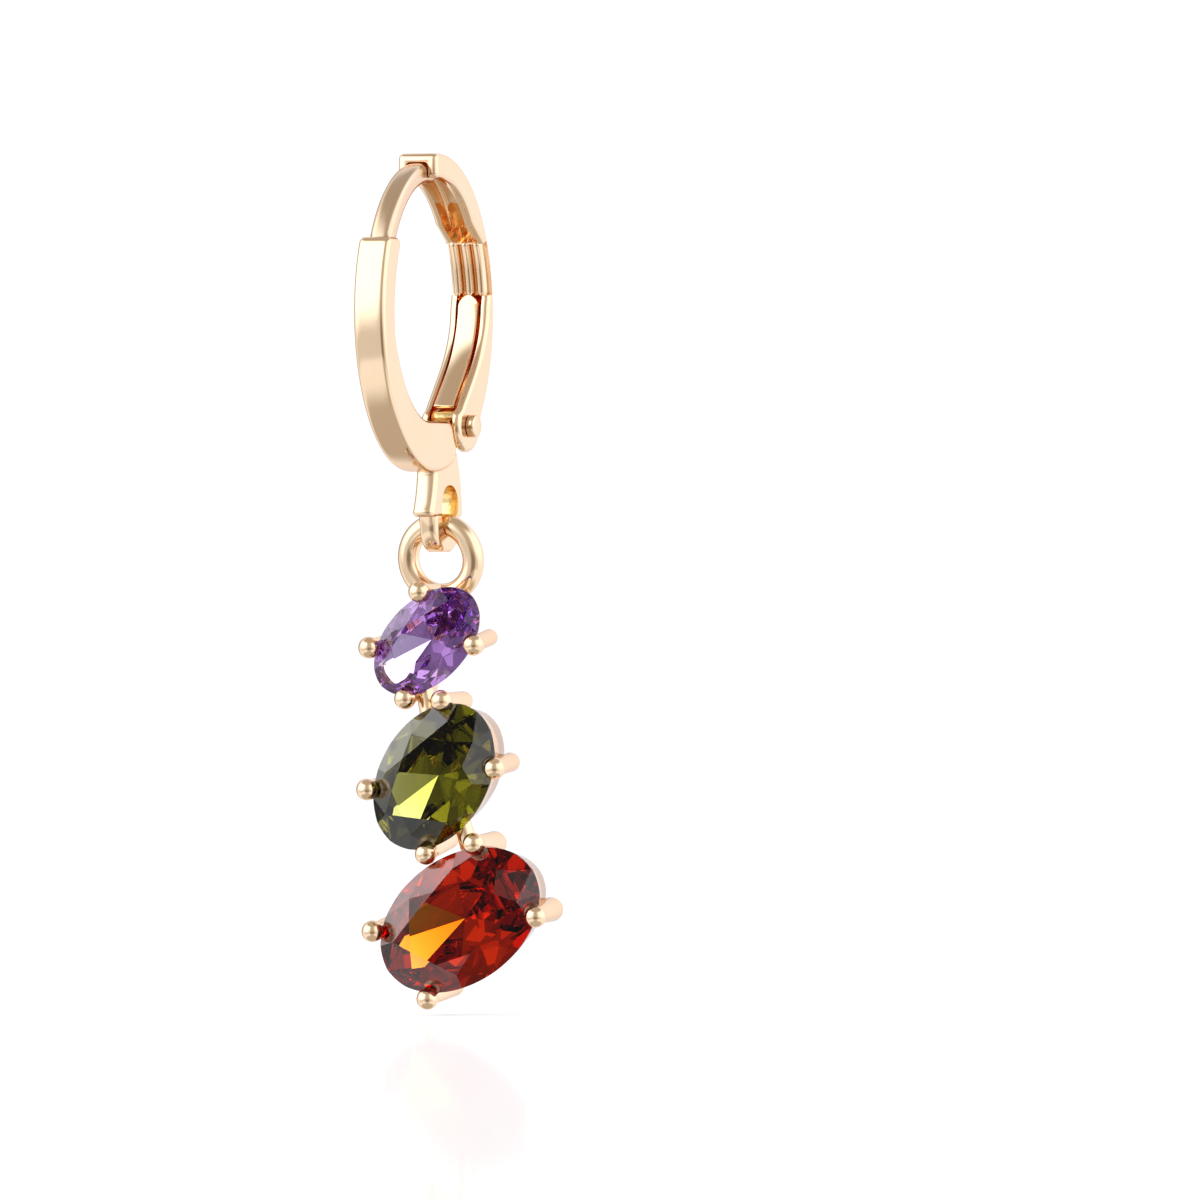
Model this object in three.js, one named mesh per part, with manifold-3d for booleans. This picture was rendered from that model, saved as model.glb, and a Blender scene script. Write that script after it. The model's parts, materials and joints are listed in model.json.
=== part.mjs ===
// Huggie drop earring: an oval hinged hoop with a drop of three oval stones in four-prong baskets.
// Millimetres, +Z up, front = -Y. The hoop lies in the YZ plane and its hinge and bail run along X.
// The origin is the middle of the ear wire at the top of the hoop, where the earring hangs.

import * as THREE from 'three';
import { mergeVertices } from 'three/addons/utils/BufferGeometryUtils.js';
import Module from 'manifold-3d';

const wasm = await Module();
wasm.setup();

// ---------------------------------------------------------------- driving dimensions

// The hoop's outer ellipse. Sizes that follow it are set in from it, and heights are from its centre.
const HOOP = { halfDepth: 4.66, halfHeight: 5.77 };
const BAND = { width: 1.25, thickness: 1.08, topHeight: 2.67, edge: 0.18 };
const WIRE = { width: 0.82, inset: 0.36, startAngle: 158, endAngle: 79, edge: 0.26 };
const SHOE = { floor: -3.93, endAngle: 291, hingeGap: 1.0 };
const LEVER = {
  width: 1.57,
  wall: 0.28,
  edge: 0.15,
  frontAngle: 95.5,
  rimUpper: 0.92,
  rimMiddle: 0.36,
  middleTop: 2.6,
  middleBottom: 0.7,
  webEndAngle: -39,
  earRadius: 0.95,
};
const GROOVE = { width: 0.1, offset: 0.29, floor: 0.2 };
const RIVET = { y: 2.48, z: -4.09, shank: 0.28, head: 0.41, headHeight: 0.33, play: 0.03 };
const LUG = { width: 0.9, radius: 0.75 };
const LEAF = { width: 0.79, thickness: 0.12, point: 0.4 };
const BAIL = { upperWidth: 0.84, lowerWidth: 0.74, edge: 0.08, seatRadius: 0.52, seatZ: -7.58 };

// The drop is set out from the ring's top, where it hangs in the bail: u to the right, v up, n back.
const PIVOT = { y: 1.5, z: -7.64 };
const PITCH = 7;
const RING = { radius: 1.29, wire: 0.39 };
// Ovals, each with its tilt, its girdle's middle as [u, v, n], its gallery's depth and its four prongs:
// the angle of each in the stone's own oval, and its distance out as a part of the girdle's.
const STONES = [
  {
    name: 'purple',
    long: 5,
    short: 3,
    tilt: 40,
    at: [-0.09, -4.12, -1.4],
    depth: 0.7,
    leg: 0.31,
    prongs: [[65, 1.07], [131, 1.1], [-57, 1.07], [-139, 1.05]],
  },
  {
    name: 'green',
    long: 6,
    short: 4.1,
    tilt: 52,
    at: [0.06, -9.04, -1.7],
    depth: 1.6,
    leg: 0.36,
    prongs: [[36, 1.06], [127, 1.07], [-55, 1.07], [-139, 1.07]],
  },
  {
    name: 'red',
    long: 7,
    short: 4.55,
    tilt: 32,
    at: [0.92, -14.25, -1.95],
    depth: 1.6,
    leg: 0.45,
    prongs: [[54, 1.07], [144, 1.09], [-40, 1.03], [-135, 1.07]],
  },
];
const PRONG = { ball: 0.4, neck: 0.3, reach: 0.28, length: 2, lean: 0.27 };
// The galleries narrow towards the back: radii and wall as parts of the girdle's.
const GALLERY = { front: 0.97, back: 0.85, wall: 0.17, behind: 0.15 };
// Each bridge runs from one basket's gallery to the next, as [u, v, n].
const BRIDGE_RADIUS = 0.33;
const BRIDGES = [
  [[-0.6, -5.55, -0.8], [-0.3, -7.05, -1.0]],
  [[0.75, -10.9, -0.9], [1.2, -12.5, -1.0]],
];

// Oval brilliant cut: radii as parts of the girdle's, heights as parts of the stone's short axis.
const CUT = { table: 0.58, star: 0.78, lowerHalf: 0.62, crown: 0.16, pavilion: 0.42, girdle: 0.015 };
const SEAT_GAP = 0.04;

const wireCentre = HOOP.halfHeight - (WIRE.inset + BAND.thickness) / 2;
const rad = THREE.MathUtils.degToRad;

// ---------------------------------------------------------------- solids

// Joins shared vertices and drops the triangles that collapse at the ends of a lathed shape.
function solid(geometry) {
  geometry.deleteAttribute('normal');
  geometry.deleteAttribute('uv');
  const merged = mergeVertices(geometry, 1e-5);
  const vertProperties = new Float32Array(merged.attributes.position.array);
  const kept = [];
  for (let i = 0; i < merged.index.count; i += 3) {
    const [a, b, c] = merged.index.array.slice(i, i + 3);
    if (a !== b && b !== c && c !== a) kept.push(a, b, c);
  }
  const triVerts = new Uint32Array(kept);
  return new wasm.Manifold(new wasm.Mesh({ numProp: 3, vertProperties, triVerts }));
}

function union(solids) {
  return solids.reduce((whole, next) => whole.add(next));
}

function meshOf(name, shape, material) {
  const data = shape.getMesh();
  const geometry = new THREE.BufferGeometry();
  geometry.setAttribute('position', new THREE.BufferAttribute(data.vertProperties, 3));
  geometry.setIndex(new THREE.BufferAttribute(data.triVerts, 1));
  geometry.computeVertexNormals();
  const mesh = new THREE.Mesh(geometry, material);
  mesh.name = name;
  return mesh;
}

// A plate whose outline is drawn in (y, z), centred at x, with rounded edges.
function plate(outline, width, edge, x = 0) {
  const geometry = new THREE.ExtrudeGeometry(outline, {
    depth: width - 2 * edge,
    bevelEnabled: edge > 0,
    bevelSize: edge,
    bevelOffset: -edge,
    bevelThickness: edge,
    bevelSegments: 2,
    curveSegments: 6,
  });
  geometry.translate(0, 0, edge - width / 2);
  const axes = new THREE.Matrix4();
  axes.makeBasis(new THREE.Vector3(0, 1, 0), new THREE.Vector3(0, 0, 1), new THREE.Vector3(1, 0, 0));
  geometry.applyMatrix4(axes);
  geometry.translate(x, 0, 0);
  return solid(geometry);
}

// A round pin along X.
function pin(y, z, radius, length) {
  const geometry = new THREE.CylinderGeometry(radius, radius, length, 28);
  geometry.rotateZ(Math.PI / 2);
  geometry.translate(0, y, z);
  return solid(geometry);
}

// ---------------------------------------------------------------- outlines along the hoop

// Continues an outline along an arc, in steps that stay longer than the rounding of a plate's edges.
function followArc(outline, y, z, depth, height, fromAngle, toAngle, step) {
  const steps = Math.ceil(Math.abs(toAngle - fromAngle) / step);
  for (let i = 0; i <= steps; i += 1) {
    const angle = rad(THREE.MathUtils.lerp(fromAngle, toAngle, i / steps));
    const point = [y + depth * Math.cos(angle), z + height * Math.sin(angle)];
    if (i === 0 && outline.curves.length === 0) outline.moveTo(...point);
    else outline.lineTo(...point);
  }
}

// Continues an outline along the ellipse that is set in from the hoop's outer one.
function followHoop(outline, inset, fromAngle, toAngle) {
  followArc(outline, 0, 0, HOOP.halfDepth - inset, HOOP.halfHeight - inset, fromAngle, toAngle, 5);
}

// Continues an outline round the hinge.
function followHinge(outline, radius, fromAngle, toAngle) {
  followArc(outline, RIVET.y, RIVET.z, radius, radius, fromAngle, toAngle, 15);
}

// The angle, on the back half, at which a set-in ellipse has a given height.
function angleAtHeight(inset, height) {
  return THREE.MathUtils.radToDeg(Math.asin(height / (HOOP.halfHeight - inset)));
}

function hoopArc(outerInset, innerInset, fromAngle, toAngle) {
  const outline = new THREE.Shape();
  followHoop(outline, outerInset, fromAngle, toAngle);
  followHoop(outline, innerInset, toAngle, fromAngle);
  outline.closePath();
  return outline;
}

// ---------------------------------------------------------------- front casting

function bandAndShoe() {
  const outline = new THREE.Shape();
  const hingeFront = RIVET.y - SHOE.hingeGap;
  followHoop(outline, 0, 180 - angleAtHeight(0, BAND.topHeight), SHOE.endAngle);
  // The shoe's rear edge is hollowed round the hinge, so that the lever's ears turn in it.
  followHinge(outline, SHOE.hingeGap, 227, 187);
  outline.quadraticCurveTo(hingeFront - 0.05, SHOE.floor, hingeFront - 0.45, SHOE.floor);
  outline.lineTo(-0.55, SHOE.floor);
  outline.bezierCurveTo(-1.8, SHOE.floor + 0.1, -2.9, -2.7, -3.5, -0.98);
  followHoop(outline, BAND.thickness, 192, 180 - angleAtHeight(BAND.thickness, BAND.topHeight));
  outline.closePath();
  return plate(outline, BAND.width, BAND.edge);
}

function earWire() {
  return plate(hoopArc(WIRE.inset, BAND.thickness, WIRE.startAngle, WIRE.endAngle), WIRE.width, WIRE.edge);
}

function hingeLug() {
  const web = new THREE.Shape();
  web.moveTo(0.9, -4.95);
  web.lineTo(RIVET.y, RIVET.z - LUG.radius);
  web.lineTo(RIVET.y, RIVET.z + 0.5);
  web.lineTo(0.9, SHOE.floor - 0.12);
  web.closePath();
  const round = pin(RIVET.y, RIVET.z, LUG.radius, LUG.width);
  return plate(web, LUG.width, 0).add(round);
}

// Bell shaped: the back sweeps out at once, the front nearer the foot.
function bailUpper() {
  const outline = new THREE.Shape();
  outline.moveTo(0.34, -5.4);
  outline.quadraticCurveTo(0.34, -6.5, -0.1, -7.24);
  outline.quadraticCurveTo(-0.14, -7.4, 0.04, -7.4);
  outline.lineTo(2.54, -7.4);
  outline.quadraticCurveTo(2.7, -7.4, 2.69, -7.24);
  outline.quadraticCurveTo(2.66, -6.2, 2.2, -5.0);
  outline.closePath();
  return plate(outline, BAIL.upperWidth, BAIL.edge);
}

function bailLower() {
  const outline = new THREE.Shape();
  outline.moveTo(0.34, -7.2);
  outline.lineTo(0.44, -7.85);
  outline.quadraticCurveTo(0.55, -8.5, 1.2, -8.67);
  outline.lineTo(1.8, -8.67);
  outline.quadraticCurveTo(2.42, -8.5, 2.52, -7.85);
  outline.lineTo(2.58, -7.2);
  outline.closePath();
  return plate(outline, BAIL.lowerWidth, BAIL.edge);
}

// The arched eye, whose round bottom is the seat of the drop's ring.
function bailEye() {
  const { seatRadius, seatZ } = BAIL;
  const outline = new THREE.Shape();
  const top = { y: PIVOT.y + 0.02, z: -6.24 };
  outline.moveTo(top.y, top.z);
  outline.bezierCurveTo(0.85, top.z, 0.68, -7.0, PIVOT.y - seatRadius, seatZ);
  outline.absarc(PIVOT.y, seatZ, seatRadius, Math.PI, 2 * Math.PI, false);
  outline.bezierCurveTo(2.42, -7.0, 2.25, top.z, top.y, top.z);
  return plate(outline, 2, 0);
}

function hoopFront() {
  const casting = union([bandAndShoe(), earWire(), hingeLug(), bailUpper(), bailLower()]);
  const rivetHole = pin(RIVET.y, RIVET.z, RIVET.shank + RIVET.play, LUG.width + 1);
  return casting.subtract(bailEye()).subtract(rivetHole);
}

// ---------------------------------------------------------------- lever, leaf and rivet

function leverOutline() {
  const outline = new THREE.Shape();
  const { rimUpper, rimMiddle, earRadius } = LEVER;
  followHoop(outline, 0, LEVER.frontAngle, -37);
  followHinge(outline, earRadius, 5, -210);
  outline.lineTo(1.9, -3.45);
  outline.bezierCurveTo(2.95, -2.15, 4.0, -1.3, 4.06, 0.24);
  const middleStart = angleAtHeight(rimMiddle, LEVER.middleBottom);
  const middleEnd = angleAtHeight(rimMiddle, LEVER.middleTop);
  followHoop(outline, rimMiddle, middleStart, middleEnd);
  const upperStart = angleAtHeight(rimUpper, LEVER.middleTop + 0.6);
  followHoop(outline, rimUpper, upperStart, LEVER.frontAngle + 1.4);
  outline.closePath();
  return outline;
}

function upperChannel() {
  const outline = new THREE.Shape();
  const end = angleAtHeight(LEVER.wall, LEVER.middleTop + 0.15);
  followHoop(outline, LEVER.wall, 112, end);
  followHoop(outline, 2, end - 5, 112);
  outline.closePath();
  return plate(outline, LEVER.width - 2 * LEVER.wall, 0);
}

// The lower channel runs out between the two ears, past the end of the lever's back.
function lowerChannel() {
  const outline = new THREE.Shape();
  followHoop(outline, LEVER.wall, angleAtHeight(LEVER.wall, LEVER.middleBottom), LEVER.webEndAngle);
  outline.lineTo(4.4, -3.7);
  outline.lineTo(4.4, -5.5);
  outline.lineTo(1, -5.5);
  outline.lineTo(1, -3);
  outline.lineTo(2.6, LEVER.middleBottom);
  outline.closePath();
  return plate(outline, LEVER.width - 2 * LEVER.wall, 0);
}

// Two grooves along the crimped middle part leave three ribs.
function ribGrooves() {
  const from = angleAtHeight(GROOVE.floor, LEVER.middleTop + 0.5);
  const to = angleAtHeight(GROOVE.floor, LEVER.middleBottom - 0.2);
  const outline = hoopArc(GROOVE.floor, 1.5, from, to);
  return [-1, 1].map((side) => plate(outline, GROOVE.width, 0, side * GROOVE.offset));
}

function lever() {
  const hole = pin(RIVET.y, RIVET.z, RIVET.shank + RIVET.play, LEVER.width + 1);
  const cuts = [upperChannel(), lowerChannel(), ...ribGrooves(), hole];
  const body = plate(leverOutline(), LEVER.width, LEVER.edge);
  return cuts.reduce((left, cut) => left.subtract(cut), body);
}

// A strip that stands a little proud of the channel, with a pointed top, and ends over the hinge lug.
function springLeaf() {
  const top = LEVER.middleBottom + 0.02;
  const centre = new THREE.CubicBezierCurve(
    new THREE.Vector2(4.12, top),
    new THREE.Vector2(3.98, -1.5),
    new THREE.Vector2(2.85, -2.3),
    new THREE.Vector2(1.9, -3.4),
  );
  const steps = 18;
  const sides = [-1, 1].map((side) => {
    const points = [];
    for (let i = 0; i <= steps; i += 1) {
      const tangent = centre.getTangent(i / steps);
      const normal = new THREE.Vector2(-tangent.y, tangent.x);
      points.push(centre.getPoint(i / steps).addScaledVector(normal, side * LEAF.thickness / 2));
    }
    return points;
  });
  const strip = plate(new THREE.Shape([...sides[0], ...sides[1].reverse()]), LEAF.width, 0);

  const half = LEAF.width / 2;
  const front = new THREE.Shape();
  front.moveTo(-half - 0.1, -5);
  front.lineTo(half + 0.1, -5);
  front.lineTo(half + 0.1, top - LEAF.point);
  front.lineTo(half, top - LEAF.point);
  front.quadraticCurveTo(half * 0.8, top - 0.1, 0, top);
  front.quadraticCurveTo(-half * 0.8, top - 0.1, -half, top - LEAF.point);
  front.lineTo(-half - 0.1, top - LEAF.point);
  front.closePath();
  const mask = new THREE.ExtrudeGeometry(front, { depth: 8, bevelEnabled: false, curveSegments: 6 });
  mask.rotateX(Math.PI / 2);
  mask.translate(0, 7, 0);
  return strip.intersect(solid(mask));
}

// The rivet's two rounded heads stand off the lever's ears by the hinge's play.
function hingeRivet() {
  const inner = LEVER.width / 2 + RIVET.play;
  const outer = inner + RIVET.headHeight - RIVET.play;
  const round = 0.1;
  const profile = [
    [0, -outer],
    [RIVET.head - round, -outer],
    [RIVET.head, -outer + round],
    [RIVET.head, -inner],
    [RIVET.shank, -inner],
    [RIVET.shank, inner],
    [RIVET.head, inner],
    [RIVET.head, outer - round],
    [RIVET.head - round, outer],
    [0, outer],
  ];
  const geometry = new THREE.LatheGeometry(profile.map(([r, y]) => new THREE.Vector2(r, y)), 28);
  geometry.rotateZ(-Math.PI / 2);
  geometry.translate(0, RIVET.y, RIVET.z);
  return solid(geometry);
}

// ---------------------------------------------------------------- stones

// A place in the drop, given as u, v and n, in the drop's own x, y and z.
function dropPoint([u, v, n]) {
  return [u, n, v];
}

// The cut's facet planes, each by three points on it, for half axes a and b. The crown faces +Z.
function facetPlanes(a, b, short) {
  const crown = CUT.crown * short;
  const pavilion = CUT.pavilion * short;
  const girdle = CUT.girdle * short;
  const step = Math.PI / 8;
  const at = (turn, r, z) => {
    return new THREE.Vector3(a * r * Math.cos(turn * step), b * r * Math.sin(turn * step), z);
  };
  const starRun = (CUT.star * Math.cos(step) - CUT.table) / (1 - CUT.table);
  const starZ = THREE.MathUtils.lerp(crown, girdle, starRun);
  const lowerZ = THREE.MathUtils.lerp(-pavilion, -girdle, CUT.lowerHalf * Math.cos(step));
  const culet = new THREE.Vector3(0, 0, -pavilion);
  const planes = [[at(0, 1, crown), at(5, 1, crown), at(10, 1, crown)]];
  for (let turn = 0; turn < 16; turn += 2) {
    const star = at(turn + 1, CUT.star, starZ);
    const lower = at(turn + 1, CUT.lowerHalf, lowerZ);
    planes.push([at(turn, CUT.table, crown), at(turn + 2, CUT.table, crown), star]);
    planes.push([at(turn - 1, CUT.star, starZ), at(turn, 1, girdle), star]);
    planes.push([culet, at(turn - 1, CUT.lowerHalf, lowerZ), lower]);
    for (const edge of [turn, turn + 1]) {
      planes.push([star, at(edge, 1, girdle), at(edge + 1, 1, girdle)]);
      planes.push([lower, at(edge, 1, -girdle), at(edge + 1, 1, -girdle)]);
    }
  }
  return planes;
}

// A block that fills the outer side of a plane.
function outsideOf([p, q, r]) {
  const size = 30;
  const plane = new THREE.Plane().setFromCoplanarPoints(p, q, r);
  if (plane.constant > 0) plane.negate();
  const block = new THREE.BoxGeometry(size, size, size);
  block.translate(0, 0, size / 2);
  block.applyQuaternion(new THREE.Quaternion().setFromUnitVectors(new THREE.Vector3(0, 0, 1), plane.normal));
  const foot = plane.normal.clone().multiplyScalar(-plane.constant);
  block.translate(foot.x, foot.y, foot.z);
  return solid(block);
}

function cutStone(stone, grow = 0) {
  const short = stone.short + 2 * grow;
  const a = stone.long / 2 + grow;
  const b = short / 2;
  const blank = new THREE.CylinderGeometry(1, 1, 2 * short, 48);
  blank.rotateX(Math.PI / 2);
  blank.scale(a, b, 1);
  const facets = facetPlanes(a, b, short).map(outsideOf);
  const cut = facets.reduce((left, waste) => left.subtract(waste), solid(blank));
  return solid(place(meshOf('', cut).geometry, stone));
}

// Turns a stone's own axes (long, short, crown) into the drop's u, v and front.
function place(geometry, stone) {
  const tilt = rad(stone.tilt);
  const axes = new THREE.Matrix4();
  axes.makeBasis(
    new THREE.Vector3(Math.cos(tilt), 0, Math.sin(tilt)),
    new THREE.Vector3(-Math.sin(tilt), 0, Math.cos(tilt)),
    new THREE.Vector3(0, -1, 0),
  );
  geometry.applyMatrix4(axes);
  geometry.translate(...dropPoint(stone.at));
  return geometry;
}

// ---------------------------------------------------------------- drop frame

function jumpRing() {
  const geometry = new THREE.TorusGeometry(RING.radius, RING.wire, 12, 32);
  geometry.rotateX(Math.PI / 2);
  geometry.translate(0, 0, -RING.radius);
  return solid(geometry);
}

// One prong: a leg that leans in towards the back, with a ball at the front over the stone's edge.
function prong(stone, [angle, spread]) {
  const tilt = rad(stone.tilt);
  const across = new THREE.Vector2(
    spread * (stone.long / 2) * Math.cos(rad(angle)),
    spread * (stone.short / 2) * Math.sin(rad(angle)),
  ).rotateAround(new THREE.Vector2(0, 0), tilt);
  const inward = across.clone().setLength(PRONG.lean);
  const [u, v, n] = stone.at;
  const ballSteps = 5;
  const endSteps = 2;
  const ballEnd = Math.PI - Math.asin(PRONG.neck / PRONG.ball);
  const profile = [];
  for (let i = 0; i <= ballSteps; i += 1) {
    const turn = (i / ballSteps) * ballEnd;
    profile.push(new THREE.Vector2(PRONG.ball * Math.sin(turn), -PRONG.ball * Math.cos(turn)));
  }
  for (let i = 0; i <= endSteps; i += 1) {
    const turn = (i / endSteps) * (Math.PI / 2);
    profile.push(new THREE.Vector2(stone.leg * Math.cos(turn), PRONG.length + stone.leg * Math.sin(turn)));
  }
  profile[profile.length - 1].x = 0;
  const geometry = new THREE.LatheGeometry(profile, 10);
  const direction = new THREE.Vector3(-inward.x, PRONG.length, -inward.y).normalize();
  geometry.applyQuaternion(new THREE.Quaternion().setFromUnitVectors(new THREE.Vector3(0, 1, 0), direction));
  geometry.translate(...dropPoint([u + across.x, v + across.y, n - PRONG.reach]));
  return solid(geometry);
}

// The gallery: a tapered oval wall close behind the stone's edge, which the four legs stand on.
function gallery(stone) {
  const { front, back, wall, behind } = GALLERY;
  const end = behind + stone.depth;
  const profile = [
    [front - wall, -behind],
    [back - wall, -end],
    [back, -end],
    [front, -behind],
    [front - wall, -behind],
  ];
  const geometry = new THREE.LatheGeometry(profile.map(([r, z]) => new THREE.Vector2(r, z)), 36);
  geometry.rotateX(Math.PI / 2);
  geometry.scale(stone.long / 2, stone.short / 2, 1);
  return solid(place(geometry, stone));
}

function bridge([from, to]) {
  const start = new THREE.Vector3(...dropPoint(from));
  const end = new THREE.Vector3(...dropPoint(to));
  const run = end.clone().sub(start);
  const geometry = new THREE.CapsuleGeometry(BRIDGE_RADIUS, run.length(), 3, 12);
  geometry.applyQuaternion(
    new THREE.Quaternion().setFromUnitVectors(new THREE.Vector3(0, 1, 0), run.clone().normalize()),
  );
  const middle = start.add(end).multiplyScalar(0.5);
  geometry.translate(middle.x, middle.y, middle.z);
  return solid(geometry);
}

function dropFrame() {
  const galleries = STONES.map(gallery);
  const prongs = STONES.flatMap((stone) => stone.prongs.map((spot) => prong(stone, spot)));
  const metal = union([jumpRing(), ...galleries, ...prongs, ...BRIDGES.map(bridge)]);
  return STONES.reduce((left, stone) => left.subtract(cutStone(stone, SEAT_GAP)), metal);
}

// ---------------------------------------------------------------- the earring

const GEM_COLOURS = { purple: 0x7a52b0, green: 0x6f7a12, red: 0x9c1f12 };

function gold() {
  return new THREE.MeshStandardMaterial({ color: 0xf0d7af, roughness: 0.12, metalness: 1 });
}

function gem(name) {
  return new THREE.MeshStandardMaterial({ color: GEM_COLOURS[name], roughness: 0.05, metalness: 0 });
}

const hoop = new THREE.Group();
hoop.add(meshOf('hoop_front', hoopFront(), gold()));
hoop.add(meshOf('hinge_rivet', hingeRivet(), gold()));
hoop.add(meshOf('lever', lever(), gold()));
hoop.add(meshOf('spring_leaf', springLeaf(), gold()));

const drop = new THREE.Group();
drop.position.set(0, PIVOT.y, PIVOT.z);
drop.rotation.x = rad(PITCH);
drop.add(meshOf('drop_frame', dropFrame(), gold()));
for (const stone of STONES) {
  drop.add(meshOf(`stone_${stone.name}`, cutStone(stone), gem(stone.name)));
}

const earring = new THREE.Group();
earring.position.z = -wireCentre;
earring.add(hoop, drop);
earring.updateMatrixWorld(true);

export default earring;
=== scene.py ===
"""Looks for the huggie drop earring: polished castings and three oval stones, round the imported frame."""

import json
from functools import reduce
from math import asin, ceil, cos, degrees, pi, radians, sin, tan
from random import Random

import bmesh
import bpy
from mathutils import Matrix, Vector


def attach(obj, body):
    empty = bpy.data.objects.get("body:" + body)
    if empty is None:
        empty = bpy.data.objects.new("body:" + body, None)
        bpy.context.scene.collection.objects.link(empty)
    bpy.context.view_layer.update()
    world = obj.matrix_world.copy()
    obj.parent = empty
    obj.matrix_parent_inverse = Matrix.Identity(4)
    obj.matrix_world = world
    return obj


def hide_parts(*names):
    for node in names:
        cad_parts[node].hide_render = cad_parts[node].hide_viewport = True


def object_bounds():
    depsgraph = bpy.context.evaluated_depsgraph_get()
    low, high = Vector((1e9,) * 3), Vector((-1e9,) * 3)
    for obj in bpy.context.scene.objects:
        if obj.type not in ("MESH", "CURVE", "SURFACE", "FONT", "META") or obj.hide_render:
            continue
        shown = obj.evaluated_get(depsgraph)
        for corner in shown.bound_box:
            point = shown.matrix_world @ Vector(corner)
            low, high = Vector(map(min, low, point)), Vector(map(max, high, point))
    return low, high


bl_info = {
    "name": "Huggie Drop Earring",
    "version": (1, 0, 0),
    "blender": (4, 5, 0),
    "location": "3D View > Sidebar > Earring",
    "description": "Builds the fine surfaces of a hinged huggie earring with a three-stone drop",
    "category": "Object",
}

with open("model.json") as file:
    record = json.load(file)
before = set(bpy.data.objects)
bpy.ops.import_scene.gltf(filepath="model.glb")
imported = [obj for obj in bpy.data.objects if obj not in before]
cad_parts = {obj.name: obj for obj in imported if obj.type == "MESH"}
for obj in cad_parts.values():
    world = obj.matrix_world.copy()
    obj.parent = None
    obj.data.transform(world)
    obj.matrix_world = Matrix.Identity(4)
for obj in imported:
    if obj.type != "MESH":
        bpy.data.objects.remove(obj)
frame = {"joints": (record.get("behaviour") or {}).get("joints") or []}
CAD_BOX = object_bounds()

# Shapes are drawn in millimetres and scaled to metres when a piece is finished.
MM = 0.001
JOINTS = {joint["name"]: joint for joint in frame["joints"]}
HINGE = Vector(JOINTS["lever_hinge"]["pos_m"]) / MM
PIVOT = Vector(JOINTS["drop_swing"]["pos_m"]) / MM

# The hoop is drawn about the middle of its outer ellipse; the origin is the middle of the ear wire above it.
HALF_DEPTH = 4.66
HALF_HEIGHT = 5.77
BAND_THICKNESS = 1.08
WIRE_INSET = 0.36
HOOP_MIDDLE = Vector((0, 0, (WIRE_INSET + BAND_THICKNESS) / 2 - HALF_HEIGHT))
HINGE_Y = HINGE.y
HINGE_Z = HINGE.z - HOOP_MIDDLE.z
EYE_Y = PIVOT.y

RIVET_HOLE = 0.31

# The drop hangs from its pivot, pitched back at the foot: u to the right, v up, n back.
DROP_PITCH = radians(7)
SEAT_GAP = 0.04


# ---------------------------------------------------------------- sizes and colours

def length(name, description, millimetres):
    return bpy.props.FloatProperty(
        name=name, description=description, default=millimetres * MM, unit="LENGTH", precision=5)


def colour(name, description, rgb):
    return bpy.props.FloatVectorProperty(
        name=name, description=description, default=rgb, size=3, subtype="COLOR", min=0, max=1)


class EARRING_PG_hoop(bpy.types.PropertyGroup):
    band_width: length("Band width", "Width of the front band, across the hoop", 1.25)
    band_edge: length("Band edge", "Rounding of the band's long edges", 0.2)
    band_crown: length("Band crown", "How far the band's outer face swells along its middle", 0.006)
    wire_width: length("Wire width", "Width of the ear wire", 0.85)
    bail_upper_width: length("Bail width", "Width of the bail above its step", 0.84)
    bail_lower_width: length("Bail foot width", "Width of the bail's loop below the step", 0.74)
    lever_width: length("Lever width", "Width of the lever across its two walls", 1.57)
    lever_wall: length("Lever wall", "Thickness of the lever's sheet", 0.28)
    leaf_width: length("Leaf width", "Width of the spring leaf in the lever", 0.79)


class EARRING_PG_drop(bpy.types.PropertyGroup):
    ring_radius: length("Ring radius", "Radius of the jump ring, to the middle of its wire", 1.29)
    ring_wire: length("Ring wire", "Radius of the jump ring's wire", 0.39)
    ball: length("Prong ball", "Radius of the ball at each prong's front", 0.4)
    bridge: length("Bridge", "Radius of the bridges between the baskets", 0.33)


class EARRING_PG_finish(bpy.types.PropertyGroup):
    gold: colour("Gold", "Colour of the polished plating", (0.91, 0.71, 0.51))
    gold_roughness: bpy.props.FloatProperty(
        name="Gold roughness", description="Roughness of the plating", default=0.1, min=0, max=1)
    purple: colour("Purple stone", "Tint of the upper stone", (0.9, 0.82, 1.0))
    green: colour("Green stone", "Tint of the middle stone", (0.93, 0.95, 0.55))
    red: colour("Red stone", "Tint of the lower stone", (0.97, 0.75, 0.5))
    floor: colour("Floor", "Colour of the floor", (0.88, 0.88, 0.88))


# ---------------------------------------------------------------- mesh tools

# The gold finishes, by their place in gold_finishes(). Two of them paint light: the as-cast one paints the
# yellow of light bounced inside the bail's eye, and the deep one paints the shade inside the lever.
POLISHED, RAW_PAINTED_BOUNCE, DEEP_PAINTED_SHADE, DRAWN = range(4)
# Edges that turn by more than this are rounded.
SHARP = radians(40)


def close_loop(points):
    """The outline's points without the ones that fall on each other."""
    kept = []
    for point in points:
        if not kept or (Vector(point) - Vector(kept[-1])).length > 1e-3:
            kept.append(tuple(point))
    if (Vector(kept[0]) - Vector(kept[-1])).length < 1e-3:
        kept.pop()
    return kept


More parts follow.
